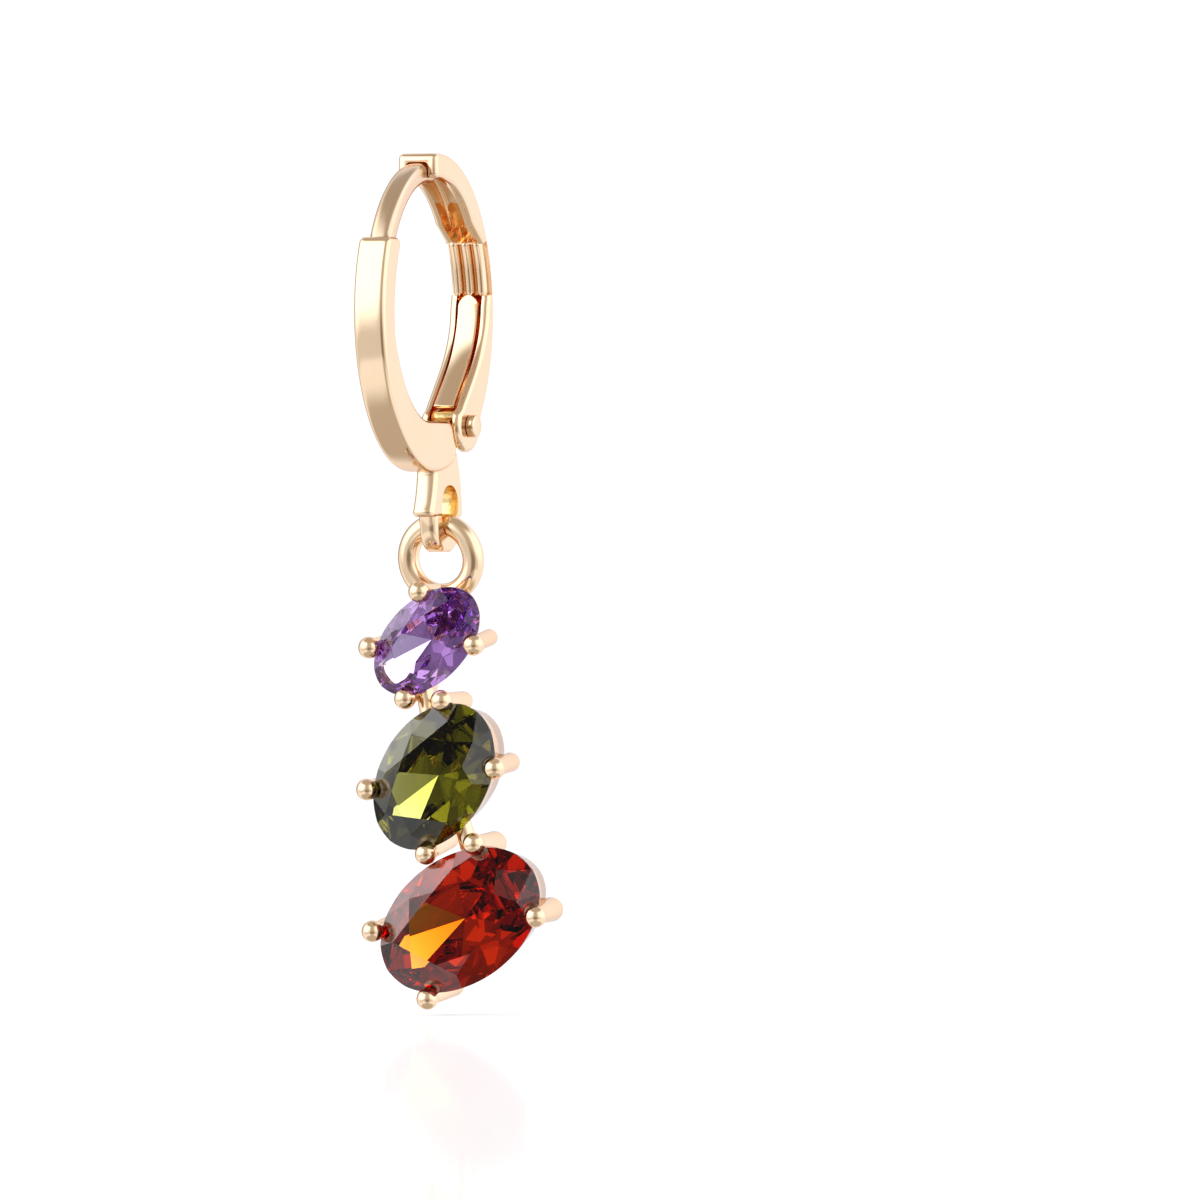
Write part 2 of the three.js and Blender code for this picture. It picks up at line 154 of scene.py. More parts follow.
def soften(outline, radius):
    """An outline with its sharp corners rounded to a radius."""
    points = [Vector(p) for p in close_loop(outline)]
    count = len(points)
    degrees_per_point = 12

    def away_from(i, step, left):
        """The spot that lies a length away from corner i, and the index of the first point past it."""
        while True:
            j = (i + step) % count
            run = (points[j] - points[i]).length
            if run > left:
                return points[i].lerp(points[j], left / run), j
            left -= run
            i = j

    corners, dropped = {}, set()
    for i, point in enumerate(points):
        turn = (point - points[i - 1]).angle(points[(i + 1) % count] - point)
        if turn > SHARP:
            back = radius * tan(turn / 2)
            start, first = away_from(i, -1, back)
            end, last = away_from(i, 1, back)
            pull = radius * 4 / 3 * tan(turn / 4) / back
            corners[i] = [tuple(start)] + bezier(
                start, start.lerp(point, pull), end.lerp(point, pull), end,
                count=ceil(degrees(turn) / degrees_per_point))
            j = (first + 1) % count
            while j != last:
                if j != i:
                    dropped.add(j)
                j = (j + 1) % count
    rounded = []
    for i, point in enumerate(points):
        if i in corners:
            rounded += corners[i]
        elif i not in dropped:
            rounded.append(tuple(point))
    return rounded


def prism(outline, width, edge=0.0, segments=3):
    """A plate cut to an outline in (y, z), with its rims rounded."""
    points = close_loop(outline)
    bm = bmesh.new()
    low = [bm.verts.new((-width / 2, y, z)) for y, z in points]
    high = [bm.verts.new((width / 2, y, z)) for y, z in points]
    bm.faces.new(low)
    bm.faces.new(list(reversed(high)))
    count = len(points)
    for i in range(count):
        j = (i + 1) % count
        bm.faces.new((low[j], low[i], high[i], high[j]))
    bmesh.ops.recalc_face_normals(bm, faces=bm.faces)
    if edge > 0:
        sharp = [e for e in bm.edges if len(e.link_faces) == 2 and e.calc_face_angle() > SHARP]
        bmesh.ops.bevel(
            bm, geom=sharp, offset=edge, offset_type="OFFSET", segments=segments, profile=0.5,
            affect="EDGES", clamp_overlap=False)
    return bm


def lathe(profile, sides, closed=False):
    """A profile of (radius, height) turned round Z. It ends on the axis, or closes on itself."""
    bm = bmesh.new()
    rings = []
    for radius, height in profile:
        if radius < 1e-6:
            rings.append([bm.verts.new((0, 0, height))])
            continue
        turns = [2 * pi * i / sides for i in range(sides)]
        rings.append([bm.verts.new((radius * cos(t), radius * sin(t), height)) for t in turns])
    pairs = list(zip(rings, rings[1:]))
    if closed:
        pairs.append((rings[-1], rings[0]))
    for low, high in pairs:
        for i in range(sides):
            j = (i + 1) % sides
            corners = [low[i % len(low)], low[j % len(low)], high[j % len(high)], high[i % len(high)]]
            bm.faces.new(list(dict.fromkeys(corners)))
    bmesh.ops.recalc_face_normals(bm, faces=bm.faces)
    return bm


def moved(bm, matrix):
    bmesh.ops.transform(bm, matrix=matrix, verts=bm.verts)
    return bm


def cut_up(bm):
    """Cuts large polygons into triangles and sorts the faces, so that every run makes the same mesh."""
    bmesh.ops.triangulate(bm, faces=[face for face in bm.faces if len(face.verts) > 4])
    bm.verts.index_update()
    count = len(bm.verts)

    def rank(face):
        a, b, c, *_ = sorted(vert.index for vert in face.verts)
        return (a * count + b) * count + c

    bm.faces.sort(key=rank)


def scratch(bm, name="scratch", finish=POLISHED):
    """A temporary object with a bmesh's shape, still in millimetres, and the number of its gold finish."""
    mesh = bpy.data.meshes.new(name)
    cut_up(bm)
    for face in bm.faces:
        face.material_index = finish
    bm.to_mesh(mesh)
    bm.free()
    for material in gold_finishes():
        mesh.materials.append(material)
    made = bpy.data.objects.new(name, mesh)
    bpy.context.scene.collection.objects.link(made)
    return made


def discard(made):
    mesh = made.data
    bpy.data.objects.remove(made)
    bpy.data.meshes.remove(mesh)


def settle(made):
    """Applies an object's modifiers to its mesh."""
    depsgraph = bpy.context.evaluated_depsgraph_get()
    mesh = bpy.data.meshes.new_from_object(made.evaluated_get(depsgraph), depsgraph=depsgraph)
    old = made.data
    made.modifiers.clear()
    made.data = mesh
    bpy.data.meshes.remove(old)
    return made


def combine(first, others, operation):
    """Joins the others to the first, or cuts them out of it, and discards them."""
    for other in others:
        boolean = first.modifiers.new("combine", "BOOLEAN")
        boolean.operation = operation
        boolean.solver = "MANIFOLD"
        boolean.object = other
        settle(first)
        discard(other)
    return first


def islands(made):
    """The closed shapes of an object, each as a scratch object, in the same order in every run."""
    bm = bmesh.new()
    bm.from_mesh(made.data)
    discard(made)
    seen, found = set(), []
    for first in bm.verts:
        if first in seen:
            continue
        seen.add(first)
        island, edge = [], [first]
        while edge:
            vert = edge.pop()
            island.append(vert)
            near = [v for v in (e.other_vert(vert) for e in vert.link_edges) if v not in seen]
            edge += near
            seen.update(near)
        part = bmesh.new()
        copies = {vert: part.verts.new(vert.co) for vert in island}
        for face in dict.fromkeys(f for vert in island for f in vert.link_faces):
            part.faces.new([copies[v] for v in face.verts])
        found.append(scratch(part))
    bm.free()
    return found


def clean(made, sizes=(0,)):
    """Cuts large polygons into triangles, without the edges below the first size that leaves no hole."""
    for smallest in sizes:
        bm = bmesh.new()
        bm.from_mesh(made.data)
        if smallest:
            bmesh.ops.dissolve_degenerate(bm, edges=bm.edges, dist=smallest)
        cut_up(bm)
        if all(len(edge.link_faces) == 2 for edge in bm.edges):
            bm.to_mesh(made.data)
            bm.free()
            break
        bm.free()
    return made


def soft_edges(made, width):
    """Breaks a casting's sharp edges, as tumbling and polishing do."""
    clean(made, (0.005, 0.004, 0.003, 0.002, 0.001, 0))
    bevel = made.modifiers.new("broken edges", "BEVEL")
    bevel.limit_method = "ANGLE"
    bevel.angle_limit = SHARP
    bevel.width = width
    bevel.segments = 2
    bevel.use_clamp_overlap = True
    return clean(settle(made))


def join_flat(made):
    """Joins the triangles that lie in one plane, so that flat faces shade evenly."""
    bm = bmesh.new()
    bm.from_mesh(made.data)
    bmesh.ops.dissolve_limit(bm, angle_limit=radians(0.2), verts=[], edges=bm.edges, delimit={"MATERIAL"})
    bm.to_mesh(made.data)
    bm.free()


def finish_piece(made, name, material, body, nodes=(), smooth=35, weighted=True):
    """Scales a piece to metres, shades it, ties it to its body, and hides the CAD nodes it stands for."""
    made.name = name
    made.data.name = name
    made.data.transform(Matrix.Scale(MM, 4))
    finishes = gold_finishes() if material == gold() else [material]
    indices = [polygon.material_index % len(finishes) for polygon in made.data.polygons]
    used = sorted(set(indices))
    made.data.materials.clear()
    for index in used:
        made.data.materials.append(finishes[index])
    for polygon, index in zip(made.data.polygons, indices):
        polygon.use_smooth = smooth > 0
        polygon.material_index = used.index(index)
    if smooth > 0:
        made.data.set_sharp_from_angle(angle=radians(smooth))
    if weighted:
        join_flat(made)
        normals = made.modifiers.new("even shading", "WEIGHTED_NORMAL")
        normals.keep_sharp = True
        normals.weight = 95
        settle(made)
    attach(made, body)
    if nodes:
        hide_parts(*nodes)
    return made


# ---------------------------------------------------------------- node trees

def feed(tree, node, inputs):
    """Gives a node's inputs their values, or links them to other nodes' outputs."""
    for key, value in dict(inputs).items():
        if isinstance(value, bpy.types.NodeSocket):
            tree.links.new(value, node.inputs[key])
        else:
            node.inputs[key].default_value = value
    return node


def add_node(tree, kind, inputs=(), **settings):
    node = tree.nodes.new(kind)
    for name, value in settings.items():
        setattr(node, name, value)
    return feed(tree, node, inputs)


def maths(tree, operation, *values):
    return add_node(tree, "ShaderNodeMath", enumerate(values), operation=operation).outputs[0]


def blend(tree, factor, one, other):
    """A colour between two others."""
    mix = add_node(tree, "ShaderNodeMix", {"Factor": factor, "A": one, "B": other}, data_type="RGBA")
    return mix.outputs["Result"]


def shape_tree(name, sizes):
    """An empty Geometry Nodes tree with a path, named sizes and a material coming in, and its input node."""
    tree = bpy.data.node_groups.new(name, "GeometryNodeTree")
    tree.interface.new_socket("Path", in_out="INPUT", socket_type="NodeSocketGeometry")
    for size, default in sizes.items():
        kind = "NodeSocketInt" if isinstance(default, int) else "NodeSocketFloat"
        tree.interface.new_socket(size, in_out="INPUT", socket_type=kind).default_value = default
    tree.interface.new_socket("Material", in_out="INPUT", socket_type="NodeSocketMaterial")
    tree.interface.new_socket("Shape", in_out="OUTPUT", socket_type="NodeSocketGeometry")
    return tree, tree.nodes.new("NodeGroupInput").outputs


def end_tree(tree, mesh, material):
    closed = add_node(tree, "GeometryNodeMergeByDistance", {"Geometry": mesh, "Distance": 0.006})
    realized = add_node(tree, "GeometryNodeRealizeInstances", {"Geometry": closed.outputs[0]})
    made = add_node(tree, "GeometryNodeSetMaterial", {"Geometry": realized.outputs[0], "Material": material})
    tree.links.new(made.outputs[0], tree.nodes.new("NodeGroupOutput").inputs[0])
    return tree


def rounded_bar_tree():
    """A bar of oval section along each path, with both ends rounded off."""
    sizes = {"Half width": 0.17, "Half height": 0.25, "Round end": 0.2, "Steps": 48, "Sides": 24}
    tree, size = shape_tree("rounded_bar", sizes)
    path = add_node(tree, "GeometryNodeMeshToCurve", {"Mesh": size["Path"]})
    steps = add_node(tree, "GeometryNodeResampleCurve", {"Curve": path.outputs[0], "Count": size["Steps"]})
    along = tree.nodes.new("GeometryNodeSplineParameter").outputs["Length"]
    whole = tree.nodes.new("GeometryNodeSplineLength").outputs["Length"]
    from_end = maths(tree, "MINIMUM", along, maths(tree, "SUBTRACT", whole, along))
    inside = maths(tree, "MINIMUM", maths(tree, "DIVIDE", from_end, size["Round end"]), 1.0)
    short = maths(tree, "SUBTRACT", 1.0, inside)
    thick = maths(tree, "SQRT", maths(tree, "SUBTRACT", 1.0, maths(tree, "MULTIPLY", short, short)))
    thick = maths(tree, "MAXIMUM", thick, 0.01)
    tapered = add_node(tree, "GeometryNodeSetCurveRadius", {"Curve": steps.outputs[0], "Radius": thick})
    circle = add_node(tree, "GeometryNodeCurvePrimitiveCircle", {"Resolution": size["Sides"], "Radius": 1.0})
    oval = add_node(tree, "ShaderNodeCombineXYZ", {0: size["Half width"], 1: size["Half height"], 2: 1.0})
    profile = add_node(
        tree, "GeometryNodeTransform", {"Geometry": circle.outputs[0], "Scale": oval.outputs[0]})
    bar = add_node(tree, "GeometryNodeCurveToMesh", {
        "Curve": tapered.outputs[0], "Profile Curve": profile.outputs[0], "Scale": thick, "Fill Caps": True})
    return end_tree(tree, bar.outputs[0], size["Material"])


def beaded_leg_tree():
    """A ball at the start of each path, and behind it a leg that widens to its own size and ends round."""
    sizes = {"Ball": 0.4, "Neck": 0.3, "Ball steps": 18, "End steps": 9, "Sides": 32}
    tree, size = shape_tree("beaded_leg", sizes)
    ball_end = maths(tree, "SUBTRACT", pi, maths(
        tree, "ARCSINE", maths(tree, "DIVIDE", size["Neck"], size["Ball"])))
    count = maths(tree, "ADD", maths(tree, "ADD", size["Ball steps"], size["End steps"]), 2.0)
    path = add_node(tree, "GeometryNodeMeshToCurve", {"Mesh": size["Path"]})
    steps = add_node(tree, "GeometryNodeResampleCurve", {"Curve": path.outputs[0], "Count": count})
    spot = tree.nodes.new("GeometryNodeSplineParameter").outputs
    whole = tree.nodes.new("GeometryNodeSplineLength").outputs["Length"]
    leg = add_node(tree, "GeometryNodeInputNamedAttribute", {"Name": "leg"}).outputs["Attribute"]
    in_leg = maths(tree, "GREATER_THAN", spot["Index"], size["Ball steps"])
    turn = maths(tree, "MULTIPLY", maths(tree, "DIVIDE", spot["Index"], size["Ball steps"]), ball_end)
    past = maths(tree, "SUBTRACT", maths(tree, "SUBTRACT", spot["Index"], size["Ball steps"]), 1.0)
    tip = maths(tree, "MULTIPLY", maths(tree, "DIVIDE", past, size["End steps"]), pi / 2)
    from_front = maths(tree, "SUBTRACT", 1.0, maths(tree, "COSINE", turn))
    ball_along = maths(tree, "MULTIPLY", from_front, size["Ball"])
    ball_thick = maths(tree, "MULTIPLY", maths(tree, "SINE", turn), size["Ball"])
    leg_along = maths(tree, "MULTIPLY_ADD", maths(tree, "SINE", tip), leg, whole)
    leg_thick = maths(tree, "MULTIPLY", maths(tree, "COSINE", tip), leg)

    def choose(ball, leg):
        return add_node(tree, "ShaderNodeMix", {"Factor": in_leg, "A": ball, "B": leg}).outputs["Result"]

    thick = maths(tree, "MAXIMUM", choose(ball_thick, leg_thick), 0.002)
    slide = maths(tree, "SUBTRACT", choose(ball_along, leg_along), spot["Length"])
    tangent = tree.nodes.new("GeometryNodeInputTangent").outputs[0]
    offset = add_node(tree, "ShaderNodeVectorMath", {0: tangent, "Scale": slide}, operation="SCALE")
    sized = add_node(tree, "GeometryNodeSetCurveRadius", {"Curve": steps.outputs[0], "Radius": thick})
    placed = add_node(
        tree, "GeometryNodeSetPosition", {"Geometry": sized.outputs[0], "Offset": offset.outputs[0]})
    radius = tree.nodes.new("GeometryNodeInputRadius").outputs[0]
    circle = add_node(tree, "GeometryNodeCurvePrimitiveCircle", {"Resolution": size["Sides"], "Radius": 1.0})
    prong = add_node(tree, "GeometryNodeCurveToMesh", {
        "Curve": placed.outputs[0], "Profile Curve": circle.outputs[0], "Scale": radius, "Fill Caps": True})
    return end_tree(tree, prong.outputs[0], size["Material"])


def grown_along(paths, tree, sizes, name="paths", **attributes):
    """The plain mesh that a tree grows along paths, each a list of points in millimetres."""
    mesh = bpy.data.meshes.new(name)
    points = [tuple(point) for path in paths for point in path]
    edges, first = [], 0
    for path in paths:
        edges += [(first + i, first + i + 1) for i in range(len(path) - 1)]
        first += len(path)
    mesh.from_pydata(points, edges, [])
    for label, values in attributes.items():
        data = mesh.attributes.new(label, "FLOAT", "POINT").data
        data.foreach_set("value", [value for value, path in zip(values, paths) for _ in path])
    made = bpy.data.objects.new(name, mesh)
    bpy.context.scene.collection.objects.link(made)
    grow = made.modifiers.new("grow", "NODES")
    grow.node_group = tree
    for socket in tree.interface.items_tree:
        if socket.in_out == "INPUT" and socket.name in sizes:
            grow[socket.identifier] = sizes[socket.name]
    return settle(made)


# ---------------------------------------------------------------- outlines along the hoop

def arc(centre, depth, height, start, end, step):
    """Points along an elliptical arc, from one angle to another in degrees."""
    count = max(2, ceil(abs(end - start) / step))
    turns = [radians(start + (end - start) * i / count) for i in range(count + 1)]
    return [(centre[0] + depth * cos(t), centre[1] + height * sin(t)) for t in turns]


def bezier(*points, count=16):
    """Points along a curve of two, three or four control points, without its first."""
    run = []
    for i in range(1, count + 1):
        level = [Vector(p) for p in points]
        while len(level) > 1:
            level = [a.lerp(b, i / count) for a, b in zip(level, level[1:])]
        run.append(tuple(level[0]))
    return run


def along_hoop(inset, start, end, step=2.5):
    return arc((0, 0), HALF_DEPTH - inset, HALF_HEIGHT - inset, start, end, step)


def round_hinge(radius, start, end):
    return arc((HINGE_Y, HINGE_Z), radius, radius, start, end, 7.5)


def angle_at(inset, height):
    return degrees(asin(height / (HALF_HEIGHT - inset)))


def hoop_arc(outer, inner, start, end):
    return along_hoop(outer, start, end) + along_hoop(inner, end, start)


def hoop_bar(half_width, outer, inner, start, end):
    """A bar with a rounded section that follows the hoop's oval and ends in a round tip."""
    middle, half = (outer + inner) / 2, (inner - outer) / 2
    sides, steps, tip_steps = 40, 32, 6
    squareness, tip = 3.2, 0.3
    section = []
    for i in range(sides):
        turn = 2 * pi * i / sides
        swell = (abs(cos(turn)) ** squareness + abs(sin(turn)) ** squareness) ** (1 / squareness)
        section.append((half_width * cos(turn) / swell, half * sin(turn) / swell))
    turns = [(start + (end - start) * i / steps, 1) for i in range(steps + 1)]
    reach = degrees(tip / HALF_HEIGHT) * (1 if end > start else -1)
    for i in range(1, tip_steps):
        turn = pi / 2 * i / tip_steps
        turns.append((end + reach * sin(turn), cos(turn)))
    bm = bmesh.new()
    rings = []
    for turn, size in turns:
        t = radians(turn)
        places = [(x * size, middle + deep * size) for x, deep in section]
        rings.append([bm.verts.new((x, (HALF_DEPTH - at) * cos(t), (HALF_HEIGHT - at) * sin(t)))
                      for x, at in places])
    for one, other in zip(rings, rings[1:]):
        for i in range(sides):
            j = (i + 1) % sides
            bm.faces.new((one[i], one[j], other[j], other[i]))
    bm.faces.new(rings[0])
    bm.faces.new(rings[-1])
    bmesh.ops.recalc_face_normals(bm, faces=bm.faces)
    return bm


def hoop_part(bm, finish=POLISHED):
    """Moves a shape that was drawn about the hoop's middle to its place, as a scratch object."""
    bmesh.ops.translate(bm, verts=bm.verts, vec=HOOP_MIDDLE)
    return scratch(bm, finish=finish)


def on_hoop_points(points):
    """An outline in (y, z) about the hoop's middle, as points in the object's own space."""
    return [Vector((0, y, z)) + HOOP_MIDDLE for y, z in points]


def across_hinge(bm):
    """Lays a shape that was turned round Z along the hinge's axis."""
    bmesh.ops.rotate(bm, verts=bm.verts, cent=(0, 0, 0), matrix=Matrix.Rotation(pi / 2, 3, "Y"))
    bmesh.ops.translate(bm, verts=bm.verts, vec=(0, HINGE_Y, HINGE_Z))
    return bm


def cross_pin(radius, width):
    half, sides = width / 2, 64
    return across_hinge(lathe([(0, -half), (radius, -half), (radius, half), (0, half)], sides))


# ---------------------------------------------------------------- front casting

BAND_TOP = 2.67
SHOE_FLOOR = -3.93
HINGE_GAP = 1.0


def band_outline():
    front = HINGE_Y - HINGE_GAP
    points = along_hoop(0, 180 - angle_at(0, BAND_TOP), 291)
    points += round_hinge(HINGE_GAP, 227, 187)
    points += bezier(points[-1], (front - 0.05, SHOE_FLOOR), (front - 0.45, SHOE_FLOOR), count=6)
    points += [(-0.55, SHOE_FLOOR)]
    points += bezier(points[-1], (-1.8, SHOE_FLOOR + 0.1), (-2.9, -2.7), (-3.5, -0.98), count=24)
    points += along_hoop(BAND_THICKNESS, 192, 180 - angle_at(BAND_THICKNESS, BAND_TOP))
    return points


def bail_upper_outline():
    """Bell shaped: the back sweeps out at once, the front nearer the foot."""
    points = [(0.34, -5.4)]
    points += bezier(points[-1], (0.34, -6.5), (-0.12, -7.4), count=14)
    points += [(2.7, -7.4)]
    points += bezier(points[-1], (2.68, -6.2), (2.2, -5.0), count=14)
    return points


def bail_lower_outline():
    points = [(0.34, -7.2), (0.44, -7.85)]
    points += bezier(points[-1], (0.55, -8.5), (1.2, -8.67), count=10)
    points += [(1.8, -8.67)]
    points += bezier(points[-1], (2.42, -8.5), (2.52, -7.85), count=10)
    return points + [(2.58, -7.2)]


def bail_eye_outline():
    seat, seat_z = 0.52, -7.58
    top = (EYE_Y + 0.02, -6.24)
    points = [top]
    points += bezier(top, (0.85, -6.24), (0.68, -7.0), (EYE_Y - seat, seat_z), count=18)
    points += arc((EYE_Y, seat_z), seat, seat, 180, 360, 7.5)
    points += bezier(points[-1], (2.42, -7.0), (2.25, -6.24), top, count=18)
    return points


def crowned(bm, width, crown, chosen, outward):
    """Makes the chosen faces that cross a plate swell along their middle, about the plane they had."""
    level = 1e-4
    rungs = [e for e in bm.edges if e.calc_length() > width / 2 and all(map(chosen, e.verts))
             and abs(e.verts[0].co.y - e.verts[1].co.y) < level]
    bmesh.ops.subdivide_edges(bm, edges=rungs, cuts=7, use_grid_fill=True)
    for vert in bm.verts:
        if chosen(vert):
            across = 2 * vert.co.x / width
            vert.co += outward(vert).normalized() * crown * (0.5 - across ** 2)
    return bm


def band_shape(sizes):
    """The band's plate, with rounded edges and an outer face that swells a little along its middle."""
    width, edge, crown = sizes.band_width / MM, sizes.band_edge / MM, sizes.band_crown / MM
    corner = 0.27
    plate = prism(soften(band_outline(), corner), width, edge, segments=6)

    def outer(vert):
        y, z = vert.co.y / HALF_DEPTH, vert.co.z / HALF_HEIGHT
        on_outline = 0.995
        return y * y + z * z > on_outline

    def outward(vert):
        return Vector((0, vert.co.y / HALF_DEPTH ** 2, vert.co.z / HALF_HEIGHT ** 2))

    return crowned(plate, width, crown, outer, outward)


def bail_shape(outline, width):
    """A bail plate whose front swells, as wear and polishing leave it."""
    corner, edge, crown = 0.17, 0.15, 0.13
    plate = prism(soften(outline, corner), width, edge, segments=6)
    return crowned(plate, width, crown, lambda vert: vert.co.y < 1.0, lambda vert: Vector((0, -1, 0)))


def hoop_casting(sizes):
    band = hoop_part(band_shape(sizes))
    wire_rise, wire_start, wire_end = 0.04, 157, 87
    wire = hoop_bar(
        sizes.wire_width / MM / 2, WIRE_INSET - wire_rise, BAND_THICKNESS, wire_start, wire_end)
    lug_width, lug_radius = 0.9, 0.75
    web = [(0.9, -4.95), (HINGE_Y, HINGE_Z - lug_radius), (HINGE_Y, HINGE_Z + 0.5), (0.9, SHOE_FLOOR - 0.12)]
    parts = [
        hoop_part(wire, DRAWN),
        # The hinge lug takes the as-cast finish, whose yellow tone is painted light bounced inside the
        # bail's eye.
        hoop_part(prism(web, lug_width), RAW_PAINTED_BOUNCE),
        hoop_part(cross_pin(lug_radius, lug_width), RAW_PAINTED_BOUNCE),
        hoop_part(bail_shape(bail_upper_outline(), sizes.bail_upper_width / MM)),
        hoop_part(bail_shape(bail_lower_outline(), sizes.bail_lower_width / MM)),
    ]
    combine(band, parts, "UNION")
    through = 2
    # The eye's inner walls take the as-cast finish: real grain, with a painted yellow for the light that the
    # walls bounce to each other.
    cuts = [hoop_part(prism(bail_eye_outline(), through), RAW_PAINTED_BOUNCE), hoop_part(cross_pin(RIVET_HOLE, through))]
    combine(band, cuts, "DIFFERENCE")
    return soft_edges(band, 0.025)


# ---------------------------------------------------------------- lever, leaf and rivet

LEVER_FRONT = 95.5
RIM_UPPER = 0.92
RIM_MIDDLE = 0.36
MIDDLE_TOP = 2.6
MIDDLE_BOTTOM = 0.7
WEB_END = -39
EAR_RADIUS = 0.95


def lever_outline():
    points = along_hoop(0, LEVER_FRONT, -37)
    points += round_hinge(EAR_RADIUS, 5, -210)
    points += [(1.9, -3.45)]
    points += bezier(points[-1], (2.95, -2.15), (4.0, -1.3), (4.06, 0.24), count=24)
    blank = RIM_MIDDLE + 0.1
    points += along_hoop(blank, angle_at(blank, MIDDLE_BOTTOM), angle_at(blank, MIDDLE_TOP))
    points += along_hoop(RIM_UPPER, angle_at(RIM_UPPER, MIDDLE_TOP + 0.6), LEVER_FRONT + 1.4)
    return points


def lever_channels(wall):
    end = angle_at(wall, MIDDLE_TOP + 0.15)
    upper = along_hoop(wall, 112, end) + along_hoop(2, end - 5, 112)
    lower = along_hoop(wall, angle_at(wall, MIDDLE_BOTTOM), WEB_END)
    lower += [(4.4, -3.7), (4.4, -5.5), (1, -5.5), (1, -3), (2.6, MIDDLE_BOTTOM)]
    return upper, lower


def ribs(sizes):
    """Three ribs of oval section along the lever's middle, with rounded ends."""
    inset, from_side = 0.245, 0.32
    start = angle_at(inset, MIDDLE_BOTTOM - 0.1)
    end = angle_at(inset, MIDDLE_TOP + 0.2)
    path = on_hoop_points(along_hoop(inset, start, end))
    pitch = sizes.lever_width / MM / 2 - from_side
    paths = [[(x, y, z) for _, y, z in path] for x in (-pitch, 0, pitch)]
    tree_sizes = {"Half width": 0.195, "Half height": 0.3, "Round end": 0.25, "Material": gold()}
    return islands(grown_along(paths, rounded_bar_tree(), tree_sizes))


def rough_casting(half_width, inset):
    """The unpolished bed at the foot of the lever's upper channel: small uneven facets, always the same."""
    chance = Random(11)
    columns, rows = 9, 11
    start = angle_at(inset, MIDDLE_TOP + 0.12)
    reach, wander = 20, 0.3
    lift, sink, bump, depth = 0.03, 0.06, 0.32, 0.06
    bm = bmesh.new()
    top, base = [], []
    for j in range(rows + 1):
        fade = 1 - j / rows
        turn = radians(start + reach * (j + chance.uniform(-wander, wander) * (0 < j < rows)) / rows)
        for i in range(columns + 1):
            x = half_width * (2 * i / columns - 1)
            if 0 < i < columns:
                x += chance.uniform(-wander, wander) * half_width * 2 / columns
            height = lift - sink * (j / rows) ** 3 + bump * fade ** 1.5 * chance.uniform(0.1, 1)
            for row, rise in ((top, height), (base, -depth)):
                at = inset + rise
                row.append(bm.verts.new(
                    (x, (HALF_DEPTH - at) * cos(turn), (HALF_HEIGHT - at) * sin(turn))))
    wide = columns + 1
    for j in range(rows):
        for i in range(columns):
            k = j * wide + i
            a, b, c, d = k, k + 1, k + wide + 1, k + wide
            if chance.random() < 0.5:
                bm.faces.new((top[a], top[b], top[c]))
                bm.faces.new((top[a], top[c], top[d]))
            else:
                bm.faces.new((top[a], top[b], top[d]))
                bm.faces.new((top[b], top[c], top[d]))
            bm.faces.new((base[d], base[c], base[b], base[a]))
    rim = [e for e in bm.edges if len(e.link_faces) == 1]
    bmesh.ops.bridge_loops(bm, edges=rim)
    bmesh.ops.recalc_face_normals(bm, faces=bm.faces)
    # The bed takes the deep finish: its grain is real, its darker, redder colour is painted shade at the
    # channel's foot.
    return hoop_part(bm, DEEP_PAINTED_SHADE)


def lever_casting(sizes):
    width = sizes.lever_width / MM
    wall = sizes.lever_wall / MM
    edge = 0.2
    inside, beyond = width - 2 * wall, width + 1
    body = hoop_part(prism(soften(lever_outline(), edge + 0.01), width, edge, segments=6))
    upper, lower = lever_channels(wall)
    waist = hoop_arc(0.2, 0.6, angle_at(RIM_MIDDLE, MIDDLE_TOP), angle_at(RIM_MIDDLE, MIDDLE_BOTTOM))
    cuts = [
        hoop_part(prism(soften(upper, 0.2), inside - 0.1, 0.18)),
        # The lower channel's walls take the deep finish: real as-cast grain, with painted shade in its
        # darker, redder colour.
        hoop_part(prism(lower, inside), DEEP_PAINTED_SHADE),
        hoop_part(cross_pin(RIVET_HOLE, beyond)),
        hoop_part(prism(waist, beyond)),
    ]
    combine(body, cuts, "DIFFERENCE")
    combine(body, ribs(sizes), "UNION")
    soft_edges(body, 0.03)
    return combine(body, [rough_casting(inside / 2 + 0.04, wall)], "UNION")


def leaf_strip(sizes):
    """A strip with a pointed top that stands a little proud of the channel."""
    top = MIDDLE_BOTTOM + 0.02
    thickness, point = 0.12, 0.4
    half = sizes.leaf_width / MM / 2
    centre = [(4.12, top)] + bezier((4.12, top), (3.98, -1.5), (2.85, -2.3), (1.9, -3.4), count=40)
    outline = []
    for side in (-1, 1):
        edge = []
        for i, spot in enumerate(centre):
            before = Vector(centre[max(i - 1, 0)])
            after = Vector(centre[min(i + 1, len(centre) - 1)])
            run = (after - before).normalized()
            edge.append(tuple(Vector(spot) + Vector((-run.y, run.x)) * side * thickness / 2))
        outline += edge if side < 0 else edge[::-1]
    strip = hoop_part(prism(outline, 2 * half, 0.03, segments=2))
    front = [(-half - 0.1, -5), (half + 0.1, -5), (half + 0.1, top - point), (half, top - point)]
    front += bezier(front[-1], (half * 0.8, top - 0.1), (0, top), count=10)
    front += bezier(front[-1], (-half * 0.8, top - 0.1), (-half, top - point), count=10)
    front += [(-half - 0.1, top - point)]
    mask_depth, mask_middle = 8, 3
    mask = prism(front, mask_depth)
    bmesh.ops.rotate(mask, verts=mask.verts, cent=(0, 0, 0), matrix=Matrix.Rotation(pi / 2, 3, "Z"))
    bmesh.ops.translate(mask, verts=mask.verts, vec=(0, mask_middle, 0))
    return combine(strip, [hoop_part(mask)], "INTERSECT")


